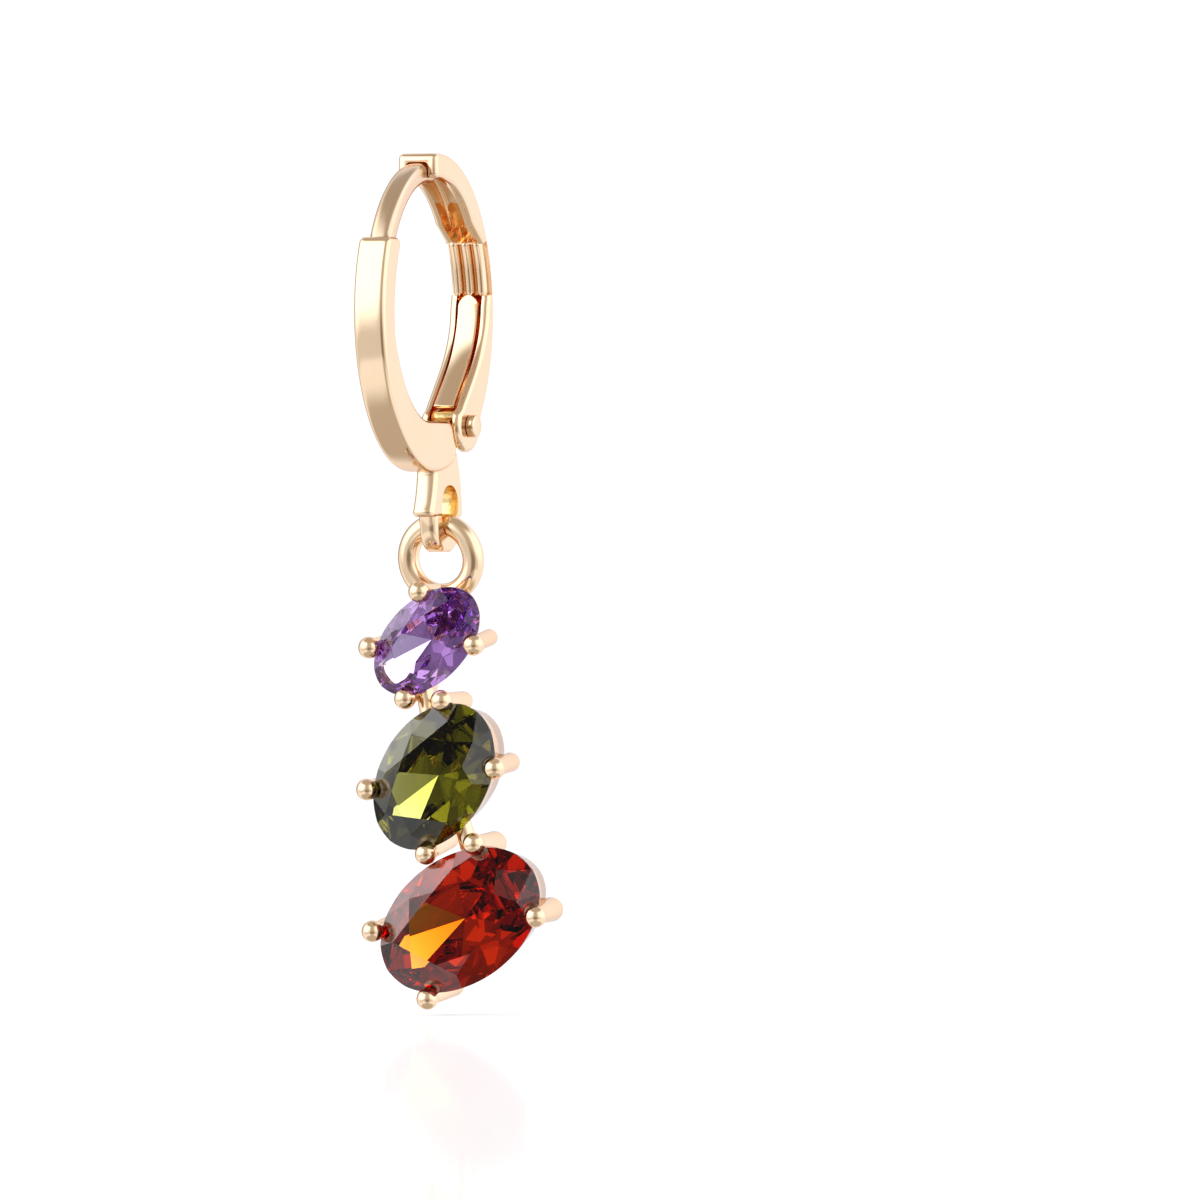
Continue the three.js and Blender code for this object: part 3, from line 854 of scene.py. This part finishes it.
def rivet_shape(sizes):
    """A pin with two domed heads."""
    play, proud = 0.03, 0.3
    inner = sizes.lever_width / MM / 2 + play
    outer = inner + proud
    head, shank, edge = 0.41, 0.28, 0.09
    steps, sides = 6, 48
    turns = [pi / 2 * i / steps for i in range(steps + 1)]
    top = [(head - edge + edge * cos(t), outer - edge * 1.3 + edge * sin(t)) for t in turns]
    top += [(0.2, outer - edge * 0.12), (0.1, outer - edge * 0.03), (0, outer)]
    half = [(shank, inner), (head, inner)] + top
    profile = [(r, -z) for r, z in reversed(half)] + half
    return hoop_part(across_hinge(lathe(profile, sides)))


# ---------------------------------------------------------------- stones

# Ovals in millimetres: tilt in degrees, the girdle's middle as (u, v, n), and four prongs, each with its
# angle in the stone's own oval and its distance out as a part of the girdle's.
STONES = {
    "purple": dict(long=5, short=3, tilt=40, at=(-0.09, -4.12, -1.4), depth=0.7, leg=0.31, lower_half=0.4,
                   prongs=((65, 1.07), (131, 1.1), (-57, 1.07), (-139, 1.05))),
    "green": dict(long=6, short=4.1, tilt=52, at=(0.06, -9.04, -1.7), depth=1.6, leg=0.36, lower_half=0.62,
                  prongs=((36, 1.06), (127, 1.07), (-55, 1.07), (-139, 1.07))),
    "red": dict(long=7, short=4.55, tilt=32, at=(0.92, -14.25, -1.95), depth=1.6, leg=0.45, lower_half=0.62,
                prongs=((54, 1.07), (144, 1.09), (-40, 1.03), (-135, 1.07))),
}
# Oval brilliant cut: radii as parts of the girdle's, heights as parts of the stone's short axis.
CUT = dict(table=0.58, star=0.78, crown=0.16, pavilion=0.42, girdle=0.015)
OVAL_SIDES = 96


def drop_place():
    return Matrix.Translation(PIVOT) @ Matrix.Rotation(DROP_PITCH, 4, "X")


def stone_place(stone):
    """From a stone's own axes (long, short, crown) to the row frame."""
    tilt = radians(stone["tilt"])
    u, v, n = stone["at"]
    axes = Matrix((
        (cos(tilt), -sin(tilt), 0, u),
        (0, 0, -1, n),
        (sin(tilt), cos(tilt), 0, v),
        (0, 0, 0, 1),
    ))
    return drop_place() @ axes


def facet_planes(a, b, short, lower_half):
    """The cut's facet planes, each as three points, for half axes a and b. The crown faces +Z."""
    crown, pavilion, girdle = (CUT[part] * short for part in ("crown", "pavilion", "girdle"))
    step = pi / 8

    def at(turn, radius, height):
        return Vector((a * radius * cos(turn * step), b * radius * sin(turn * step), height))

    star_run = (CUT["star"] * cos(step) - CUT["table"]) / (1 - CUT["table"])
    star_z = crown + (girdle - crown) * star_run
    lower_z = -pavilion + (pavilion - girdle) * lower_half * cos(step)
    culet = Vector((0, 0, -pavilion))
    planes = [(at(0, 1, crown), at(5, 1, crown), at(10, 1, crown))]
    for turn in range(0, 16, 2):
        star = at(turn + 1, CUT["star"], star_z)
        lower = at(turn + 1, lower_half, lower_z)
        planes.append((at(turn, CUT["table"], crown), at(turn + 2, CUT["table"], crown), star))
        planes.append((at(turn - 1, CUT["star"], star_z), at(turn, 1, girdle), star))
        planes.append((culet, at(turn - 1, lower_half, lower_z), lower))
        for edge in (turn, turn + 1):
            planes.append((star, at(edge, 1, girdle), at(edge + 1, 1, girdle)))
            planes.append((lower, at(edge, 1, -girdle), at(edge + 1, 1, -girdle)))
    return planes


def cut_stone(stone, grow=0.0):
    """A faceted oval in its place, or one a little larger all round, to cut its seat with."""
    short = stone["short"] + 2 * grow
    a, b = stone["long"] / 2 + grow, short / 2
    bm = lathe([(0, -short), (1, -short), (1, short), (0, short)], OVAL_SIDES)
    bmesh.ops.dissolve_limit(bm, angle_limit=radians(1), verts=bm.verts, edges=bm.edges)
    bmesh.ops.scale(bm, verts=bm.verts, vec=(a, b, 1))
    for p, q, r in facet_planes(a, b, short, stone["lower_half"]):
        normal = (q - p).cross(r - p).normalized()
        if normal.dot(p) < 0:
            normal.negate()
        geometry = list(bm.verts) + list(bm.edges) + list(bm.faces)
        cut = bmesh.ops.bisect_plane(
            bm, geom=geometry, dist=1e-5, plane_co=p, plane_no=normal, clear_outer=True)
        rim = [e for e in cut["geom_cut"] if isinstance(e, bmesh.types.BMEdge)]
        bmesh.ops.holes_fill(bm, edges=rim, sides=0)
    bmesh.ops.remove_doubles(bm, verts=bm.verts, dist=1e-4)
    bmesh.ops.recalc_face_normals(bm, faces=bm.faces)
    return moved(bm, stone_place(stone))


# ---------------------------------------------------------------- drop frame

def gallery(stone):
    """A tapered oval wall close behind the stone's edge, which the four legs stand on."""
    front, back, wall, behind, edge = 0.97, 0.85, 0.17, 0.15, 0.06
    end = behind + stone["depth"]
    profile = [(front - wall, -behind - edge), (back - wall, -end + edge)]
    profile += [(back - wall + edge / 3, -end), (back - edge / 3, -end), (back, -end + edge)]
    profile += [(front, -behind - edge), (front - edge / 3, -behind), (front - wall + edge / 3, -behind)]
    bm = lathe(profile, OVAL_SIDES, closed=True)
    bmesh.ops.scale(bm, verts=bm.verts, vec=(stone["long"] / 2, stone["short"] / 2, 1))
    return scratch(moved(bm, stone_place(stone)))


def prong_path(stone, angle, spread, ball):
    """From the front of a prong's ball, over the stone's edge, to the middle of its leg's round end."""
    reach, leg_length, lean = 0.28, 2.0, 0.27
    tilt = radians(stone["tilt"])
    x = spread * stone["long"] / 2 * cos(radians(angle))
    y = spread * stone["short"] / 2 * sin(radians(angle))
    across = Vector((x * cos(tilt) - y * sin(tilt), x * sin(tilt) + y * cos(tilt)))
    inward = across.normalized() * lean
    u, v, n = stone["at"]
    run = Vector((-inward.x, leg_length, -inward.y)).normalized()
    middle = Vector((u + across.x, n - reach, v + across.y))
    return [drop_place() @ (middle + run * along) for along in (-ball, leg_length)]


def prongs(sizes):
    ball = sizes.ball / MM
    paths, legs = [], []
    for stone in STONES.values():
        for angle, spread in stone["prongs"]:
            paths.append(prong_path(stone, angle, spread, ball))
            legs.append(stone["leg"])
    tree_sizes = {"Ball": ball, "Neck": 0.3, "Material": gold()}
    return islands(grown_along(paths, beaded_leg_tree(), tree_sizes, leg=legs))


def jump_ring(sizes):
    radius, wire = sizes.ring_radius / MM, sizes.ring_wire / MM
    wire_sides, ring_sides = 40, 128
    turns = [2 * pi * i / wire_sides for i in range(wire_sides)]
    bm = lathe([(radius + wire * cos(t), wire * sin(t)) for t in turns], ring_sides, closed=True)
    turn = Matrix.Rotation(pi / 2, 4, "X")
    return scratch(moved(bm, drop_place() @ Matrix.Translation((0, 0, -radius)) @ turn))


# Both ends of each bridge's axis, as (u, v, n).
BRIDGES = (
    ((-0.6, -5.55, -0.8), (-0.3, -7.05, -1.0)),
    ((0.75, -10.9, -0.9), (1.2, -12.5, -1.0)),
)


def bridge_shape(ends, radius):
    """A round bar with two round ends."""
    start, end = (Vector((u, n, v)) for u, v, n in ends)
    run = end - start
    steps, sides = 8, 32
    turns = [pi / 2 * i / steps for i in range(steps + 1)]
    profile = [(radius * sin(t), -radius * cos(t)) for t in turns]
    profile += [(radius * cos(t), run.length + radius * sin(t)) for t in turns]
    profile[0] = (0, -radius)
    profile[-1] = (0, run.length + radius)
    bm = lathe(profile, sides)
    turn = Vector((0, 0, 1)).rotation_difference(run).to_matrix().to_4x4()
    return scratch(moved(bm, drop_place() @ Matrix.Translation(start) @ turn))


def drop_casting(sizes):
    ring = jump_ring(sizes)
    parts = [gallery(stone) for stone in STONES.values()]
    parts += [bridge_shape(ends, sizes.bridge / MM) for ends in BRIDGES]
    combine(ring, parts + prongs(sizes), "UNION")
    return combine(ring, [scratch(cut_stone(stone, SEAT_GAP)) for stone in STONES.values()], "DIFFERENCE")


# ---------------------------------------------------------------- materials

def new_material(name):
    material = bpy.data.materials.new(name)
    material.use_nodes = True
    tree = material.node_tree
    return material, tree, tree.nodes["Principled BSDF"]


def polished_finish(name, tint, roughness):
    """Bright plating: soft waves from the polishing wheel, hairline scratches, a faint change of tone."""
    material, tree, shader = new_material(name)
    place = tree.nodes.new("ShaderNodeTexCoord").outputs["Object"]
    waves = add_node(tree, "ShaderNodeTexNoise", {"Vector": place, "Scale": 260.0, "Detail": 1.0})
    cloud = add_node(tree, "ShaderNodeTexNoise", {"Vector": place, "Scale": 900.0, "Detail": 4.0})
    long_way = add_node(tree, "ShaderNodeMapping", {
        "Vector": place, "Rotation": (0.5, 0.2, 0.9), "Scale": (9000, 9000, 500)})
    hairs = add_node(tree, "ShaderNodeTexNoise", {
        "Vector": long_way.outputs[0], "Scale": 1.0, "Detail": 3.0, "Roughness": 0.7})
    deeper = (tint[0] * 0.99, tint[1] * 0.95, tint[2] * 0.88, 1)
    rough = add_node(tree, "ShaderNodeMapRange", {
        "Value": hairs.outputs["Fac"], "From Min": 0.3, "From Max": 0.75,
        "To Min": roughness * 0.8, "To Max": roughness * 1.35})
    wide = add_node(tree, "ShaderNodeBump", {
        "Strength": 1.0, "Distance": 0.00009, "Height": waves.outputs["Fac"]})
    fine = add_node(tree, "ShaderNodeBump", {
        "Strength": 0.04, "Distance": 0.00001, "Height": hairs.outputs["Fac"],
        "Normal": wide.outputs["Normal"]})
    feed(tree, shader, {
        "Metallic": 1, "Specular Tint": (0.84, 0.72, 0.63, 1), "Roughness": rough.outputs["Result"],
        "Base Color": blend(tree, cloud.outputs["Fac"], (*tint, 1), deeper),
        "Normal": fine.outputs["Normal"]})
    return material


# What a stone takes from the light in each millimetre of its path: red, green and blue.
ABSORPTION = {
    "purple": (0.13, 0.28, 0.07),
    "green": (0.27, 0.29, 0.85),
    "red": (0.08, 0.64, 2.2),
}
REFRACTION = {"purple": 1.85, "green": 2.1, "red": 2.1}


def stone_finish(name, rgb):
    """Clear cut crystal: a slight tint at its faces, and a colour that deepens with the light's path."""
    material, tree, shader = new_material(f"{name}_stone")
    feed(tree, shader, {
        "Base Color": (*rgb, 1), "Roughness": 0, "IOR": REFRACTION[name], "Transmission Weight": 1})
    deepest = 0.98
    strongest = max(ABSORPTION[name]) / deepest
    depth = add_node(tree, "ShaderNodeVolumeAbsorption", {
        "Color": (*(1 - part / strongest for part in ABSORPTION[name]), 1), "Density": strongest / MM})
    tree.links.new(depth.outputs["Volume"], tree.nodes["Material Output"].inputs["Volume"])
    return material


def raw_grain_painted_tone(name, light, deep, roughness, relief):
    """The metal as cast, where no polishing wheel reaches: uneven grain, in colours given by its callers
    that paint light, namely yellow bounced light inside the bail's eye and shade inside the lever.
    """
    material, tree, shader = new_material(name)
    place = tree.nodes.new("ShaderNodeTexCoord").outputs["Object"]
    grain = add_node(tree, "ShaderNodeTexVoronoi", {"Vector": place, "Scale": 5200.0})
    patches = add_node(tree, "ShaderNodeTexNoise", {"Vector": place, "Scale": 1800.0, "Detail": 3.0})
    bump = add_node(tree, "ShaderNodeBump", {
        "Strength": relief, "Distance": 0.00002, "Height": grain.outputs["Distance"]})
    feed(tree, shader, {
        "Metallic": 1, "Roughness": roughness, "Normal": bump.outputs["Normal"],
        "Base Color": blend(tree, patches.outputs["Fac"], (*light, 1), (*deep, 1))})
    return material


def material_named(name, maker, *arguments):
    return bpy.data.materials.get(name) or maker(name, *arguments)


# ---------------------------------------------------------------- operators

def settings():
    return bpy.context.scene.earring_hoop, bpy.context.scene.earring_drop, bpy.context.scene.earring_finish


def tinted(factors):
    """The plating's colour, each part times its factor."""
    rgb = bpy.context.scene.earring_finish.gold
    return tuple(min(part * factor, 1) for part, factor in zip(rgb, factors))


def gold():
    roughness = bpy.context.scene.earring_finish.gold_roughness
    return material_named("polished_gold", polished_finish, tinted((1, 1, 1)), roughness)


def gold_finishes():
    """Polished plating; the as-cast metal of eye and hinge lug, yellowed with painted light bounced inside
    the eye; the deep metal in the lever, darkened and reddened with painted shade; drawn wire.
    """
    # These colours paint the yellow of light bounced inside the bail's eye.
    raw_painted_bounce = tinted((1.1, 1.14, 0.86)), tinted((1.06, 0.96, 0.5)), 0.2, 0.3
    # The deep colours are painted shade inside the lever's channels.
    deep = tinted((1, 0.6, 0.24)), tinted((0.82, 0.34, 0.08)), 0.14, 0.1
    return [
        gold(),
        material_named("raw_gold_painted_bounce", raw_grain_painted_tone, *raw_painted_bounce),
        material_named("deep_gold_painted_shade", raw_grain_painted_tone, *deep),
        material_named("drawn_gold", polished_finish, tinted((0.88, 0.88, 0.9)), 0.18),
    ]


class EARRING_OT_hoop(bpy.types.Operator):
    """Make the front band with its ear wire, hinge lug and bail"""
    bl_idname = "earring.hoop"
    bl_label = "Front casting"

    def execute(self, context):
        sizes, _, _ = settings()
        finish_piece(hoop_casting(sizes), "front_casting", gold(), "hoop", ["hoop_front"])
        return {"FINISHED"}


class EARRING_OT_lever(bpy.types.Operator):
    """Make the closing lever, its spring leaf and the rivet"""
    bl_idname = "earring.lever"
    bl_label = "Lever, leaf and rivet"

    def execute(self, context):
        sizes, _, _ = settings()
        finish_piece(lever_casting(sizes), "closing_lever", gold(), "lever", ["lever"])
        finish_piece(leaf_strip(sizes), "leaf", gold(), "lever", ["spring_leaf"])
        finish_piece(rivet_shape(sizes), "rivet", gold(), "hoop", ["hinge_rivet"], smooth=50)
        return {"FINISHED"}


class EARRING_OT_drop(bpy.types.Operator):
    """Make the jump ring and the three soldered baskets"""
    bl_idname = "earring.drop"
    bl_label = "Ring and baskets"

    def execute(self, context):
        _, sizes, _ = settings()
        finish_piece(drop_casting(sizes), "ring_and_baskets", gold(), "drop", ["drop_frame"])
        return {"FINISHED"}


class EARRING_OT_stones(bpy.types.Operator):
    """Cut the three oval stones"""
    bl_idname = "earring.stones"
    bl_label = "Stones"

    def execute(self, context):
        _, _, finish = settings()
        for name, stone in STONES.items():
            material = stone_finish(name, getattr(finish, name))
            made = scratch(cut_stone(stone))
            finish_piece(made, f"{name}_oval", material, "drop", [f"stone_{name}"],
                         smooth=0, weighted=False)
        return {"FINISHED"}


class EARRING_OT_stage(bpy.types.Operator):
    """Set the pale floor, the soft light and the camera"""
    bl_idname = "earring.stage"
    bl_label = "Stage"

    def execute(self, context):
        _, _, finish = settings()
        low, high = CAD_BOX
        make_floor(low.z, finish)
        make_light(low, high)
        make_camera()
        context.scene.view_settings.view_transform = "Standard"
        context.scene.cycles.max_bounces = 24
        context.scene.cycles.glossy_bounces = 14
        context.scene.cycles.transmission_bounces = 24
        return {"FINISHED"}


# ---------------------------------------------------------------- stage

CAMERA_AZIMUTH = 24

# Soft boxes: azimuth and elevation in degrees, angle where each starts and is full, and strength.
METAL_BOXES = (
    (-46, 26, 42, 26, 0.85), (95, 25, 50, 20, 0.35), (156, 20, 50, 20, 0.14), (-128, 5, 34, 14, -0.6))
FACE_BOXES = (
    (-85, 30, 42, 20, 1.9), (60, 5, 50, 25, 0.7), (-75, -45, 45, 20, 0.5),
    (60, 70, 40, 15, 0.7), (150, 10, 50, 20, 0.6))
DEPTH_BOXES = (
    (-28, 0, 60, 20, 0.2), (-29, -16, 13, 7, 0.6), (33, 19, 13, 6, 1.2),
    (-80, 25, 40, 20, 0.5), (85, 20, 40, 15, 0.4))


def make_floor(level, finish):
    """A plain pale floor, just under the earring, with a faint gloss that mirrors its foot."""
    reach, drop = 3, 0.0002
    material, tree, shader = new_material("pale_floor")
    feed(tree, shader, {"Base Color": (*finish.floor, 1), "Specular IOR Level": 0, "Roughness": 1})
    gloss = add_node(tree, "ShaderNodeBsdfGlossy", {"Color": (1, 1, 1, 1), "Roughness": 0.05})
    glossy = add_node(tree, "ShaderNodeMixShader", {0: 0.4, 1: shader.outputs[0], 2: gloss.outputs[0]})
    tree.links.new(glossy.outputs[0], tree.nodes["Material Output"].inputs["Surface"])
    bm = bmesh.new()
    corners = ((-reach, -reach), (reach, -reach), (reach, reach), (-reach, reach))
    bm.faces.new([bm.verts.new((x, y, level - drop)) for x, y in corners])
    floor = scratch(bm, "floor")
    floor.data.materials.clear()
    floor.data.materials.append(material)
    floor.visible_glossy = False
    floor.visible_transmission = False


def area_light(name, place, target, size, power):
    data = bpy.data.lights.new(name, "AREA")
    data.shape = "RECTANGLE"
    data.size, data.size_y = size
    data.energy = power
    light = bpy.data.objects.new(name, data)
    light.location = place
    light.rotation_euler = (Vector(place) - Vector(target)).to_track_quat("Z", "Y").to_euler()
    light.visible_glossy = False
    light.visible_transmission = False
    bpy.context.scene.collection.objects.link(light)


def studio_world():
    """A white tent: bright at both sides and behind, dim in front where the camera stands.

    Metal, the stones' faces and the light that leaves the stones each meet their own part of it."""
    world = bpy.data.worlds.new("soft_studio")
    world.use_nodes = True
    tree = world.node_tree
    place = tree.nodes.new("ShaderNodeTexCoord").outputs["Generated"]
    path = tree.nodes.new("ShaderNodeLightPath").outputs

    def rise(value, start, end):
        return add_node(
            tree, "ShaderNodeMapRange", {"Value": value, "From Min": start, "From Max": end},
            interpolation_type="SMOOTHSTEP").outputs["Result"]

    def facing(*direction):
        return add_node(
            tree, "ShaderNodeVectorMath", {0: place, 1: direction}, operation="DOT_PRODUCT").outputs["Value"]

    def toward(azimuth, elevation):
        a, e = radians(azimuth), radians(elevation)
        return facing(sin(a) * cos(e), -cos(a) * cos(e), sin(e))

    def total(*values):
        return reduce(lambda one, other: maths(tree, "ADD", one, other), values)

    def product(*values):
        return reduce(lambda one, other: maths(tree, "MULTIPLY", one, other), values)

    def no(value):
        return maths(tree, "SUBTRACT", 1, value)

    def choose(base, other, chosen):
        return total(product(base, no(chosen)), product(other, chosen))

    def boxes(rows):
        return [product(rise(toward(a, e), cos(radians(wide)), cos(radians(full))), power)
                for a, e, wide, full, power in rows]

    up = facing(0, 0, 1)
    front = toward(5, 0)
    aside = maths(tree, "ABSOLUTE", maths(
        tree, "ARCTAN2", toward(CAMERA_AZIMUTH + 90, 0), toward(CAMERA_AZIMUTH, 0)))

    # What metal mirrors: dark cards below, round the camera and beside it, and a dimmer ceiling.
    table_edge = product(rise(front, 0, 0.4), rise(up, -0.47, -0.4), rise(up, 0.15, -0.2), -0.3)
    below = product(rise(up, -0.62, -0.82), -0.52)
    level = product(rise(up, -0.85, -0.6), rise(up, 0.98, 0.85))
    between = product(rise(aside, radians(30), radians(10)), level, -0.52)
    edges = product(
        rise(aside, radians(16), radians(23)), rise(aside, radians(33), radians(26)), level, -0.14)
    overhead = rise(up, 0.63, 0.86)
    for_metal = choose(total(1.1, table_edge, below, between, edges, *boxes(METAL_BOXES)), 0.52, overhead)
    for_metal = maths(tree, "MAXIMUM", for_metal, 0.1)

    # What the stones' faces mirror, and what meets the light that leaves the stones.
    for_faces = total(0.05, *boxes(FACE_BOXES))
    backdrop = product(rise(front, -0.05, -0.4), rise(up, -0.05, 0.22), 2.1)
    low_back = product(rise(front, -0.78, -0.9), 0.3)
    for_depths = total(0.22, backdrop, low_back, *boxes(DEPTH_BOXES))

    light = choose(for_metal, for_faces, path["Is Singular Ray"])
    light = choose(light, for_depths, path["Is Transmission Ray"])
    light = choose(light, 1.35, path["Is Diffuse Ray"])
    light = choose(light, 1.05, path["Is Camera Ray"])

    # The dim parts are warm to metal, and the back is cool to all that is mirrored or seen through.
    unseen = no(path["Is Camera Ray"])
    warm = product(
        rise(light, 0.95, 0.3), unseen, no(path["Is Singular Ray"]), no(path["Is Transmission Ray"]))
    cool = product(rise(toward(180, 10), 0.1, 0.8), unseen, no(path["Is Diffuse Ray"]))
    shade = blend(tree, warm, (1, 1, 1, 1), (1, 0.84, 0.66, 1))
    shade = blend(tree, cool, shade, (1, 1.01, 1.1, 1))
    feed(tree, tree.nodes["Background"], {"Strength": light, "Color": shade})
    bpy.context.scene.world = world


def make_light(low, high):
    middle = (low + high) / 2
    studio_world()
    area_light("key", middle + Vector((-0.18, -0.2, 0.22)), middle, size=(0.12, 0.12), power=0.5)
    area_light("side", middle + Vector((0.28, -0.12, 0.06)), middle, size=(0.06, 0.24), power=0.3)


CAMERA_DISTANCE = 0.6


def make_camera():
    """A long lens at the earring's height, 24 degrees round from its front."""
    turn = radians(CAMERA_AZIMUTH)
    right = Vector((cos(turn), sin(turn), 0))
    back = Vector((sin(turn), -cos(turn), 0))
    view_width = 0.04348
    target = right * 0.00645 - Vector((0, 0, 0.01546))
    data = bpy.data.cameras.new("camera")
    data.sensor_width = 36
    data.lens = data.sensor_width * CAMERA_DISTANCE / view_width
    data.clip_start, data.clip_end = 0.01, 10
    camera = bpy.data.objects.new("camera", data)
    camera.location = target + back * CAMERA_DISTANCE
    camera.rotation_euler = back.to_track_quat("Z", "Y").to_euler()
    bpy.context.scene.collection.objects.link(camera)
    bpy.context.scene.camera = camera


class EARRING_PT_panel(bpy.types.Panel):
    bl_label = "Earring"
    bl_idname = "EARRING_PT_panel"
    bl_space_type = "VIEW_3D"
    bl_region_type = "UI"
    bl_category = "Earring"

    def draw(self, context):
        for group in settings():
            for name in group.__annotations__:
                self.layout.prop(group, name)
        for operator in OPERATORS:
            self.layout.operator(operator.bl_idname)


GROUPS = {
    "earring_hoop": EARRING_PG_hoop,
    "earring_drop": EARRING_PG_drop,
    "earring_finish": EARRING_PG_finish,
}
OPERATORS = (EARRING_OT_stage, EARRING_OT_hoop, EARRING_OT_lever, EARRING_OT_drop, EARRING_OT_stones)


def register():
    for made in (*GROUPS.values(), *OPERATORS, EARRING_PT_panel):
        bpy.utils.register_class(made)
    for name, group in GROUPS.items():
        setattr(bpy.types.Scene, name, bpy.props.PointerProperty(type=group))


def unregister():
    for name in GROUPS:
        delattr(bpy.types.Scene, name)
    for made in (EARRING_PT_panel, *reversed(OPERATORS), *GROUPS.values()):
        bpy.utils.unregister_class(made)


def main():
    register()
    for operator in (bpy.ops.earring.stage, bpy.ops.earring.hoop, bpy.ops.earring.lever,
                     bpy.ops.earring.drop, bpy.ops.earring.stones):
        operator()


if __name__ == "__main__":
    main()
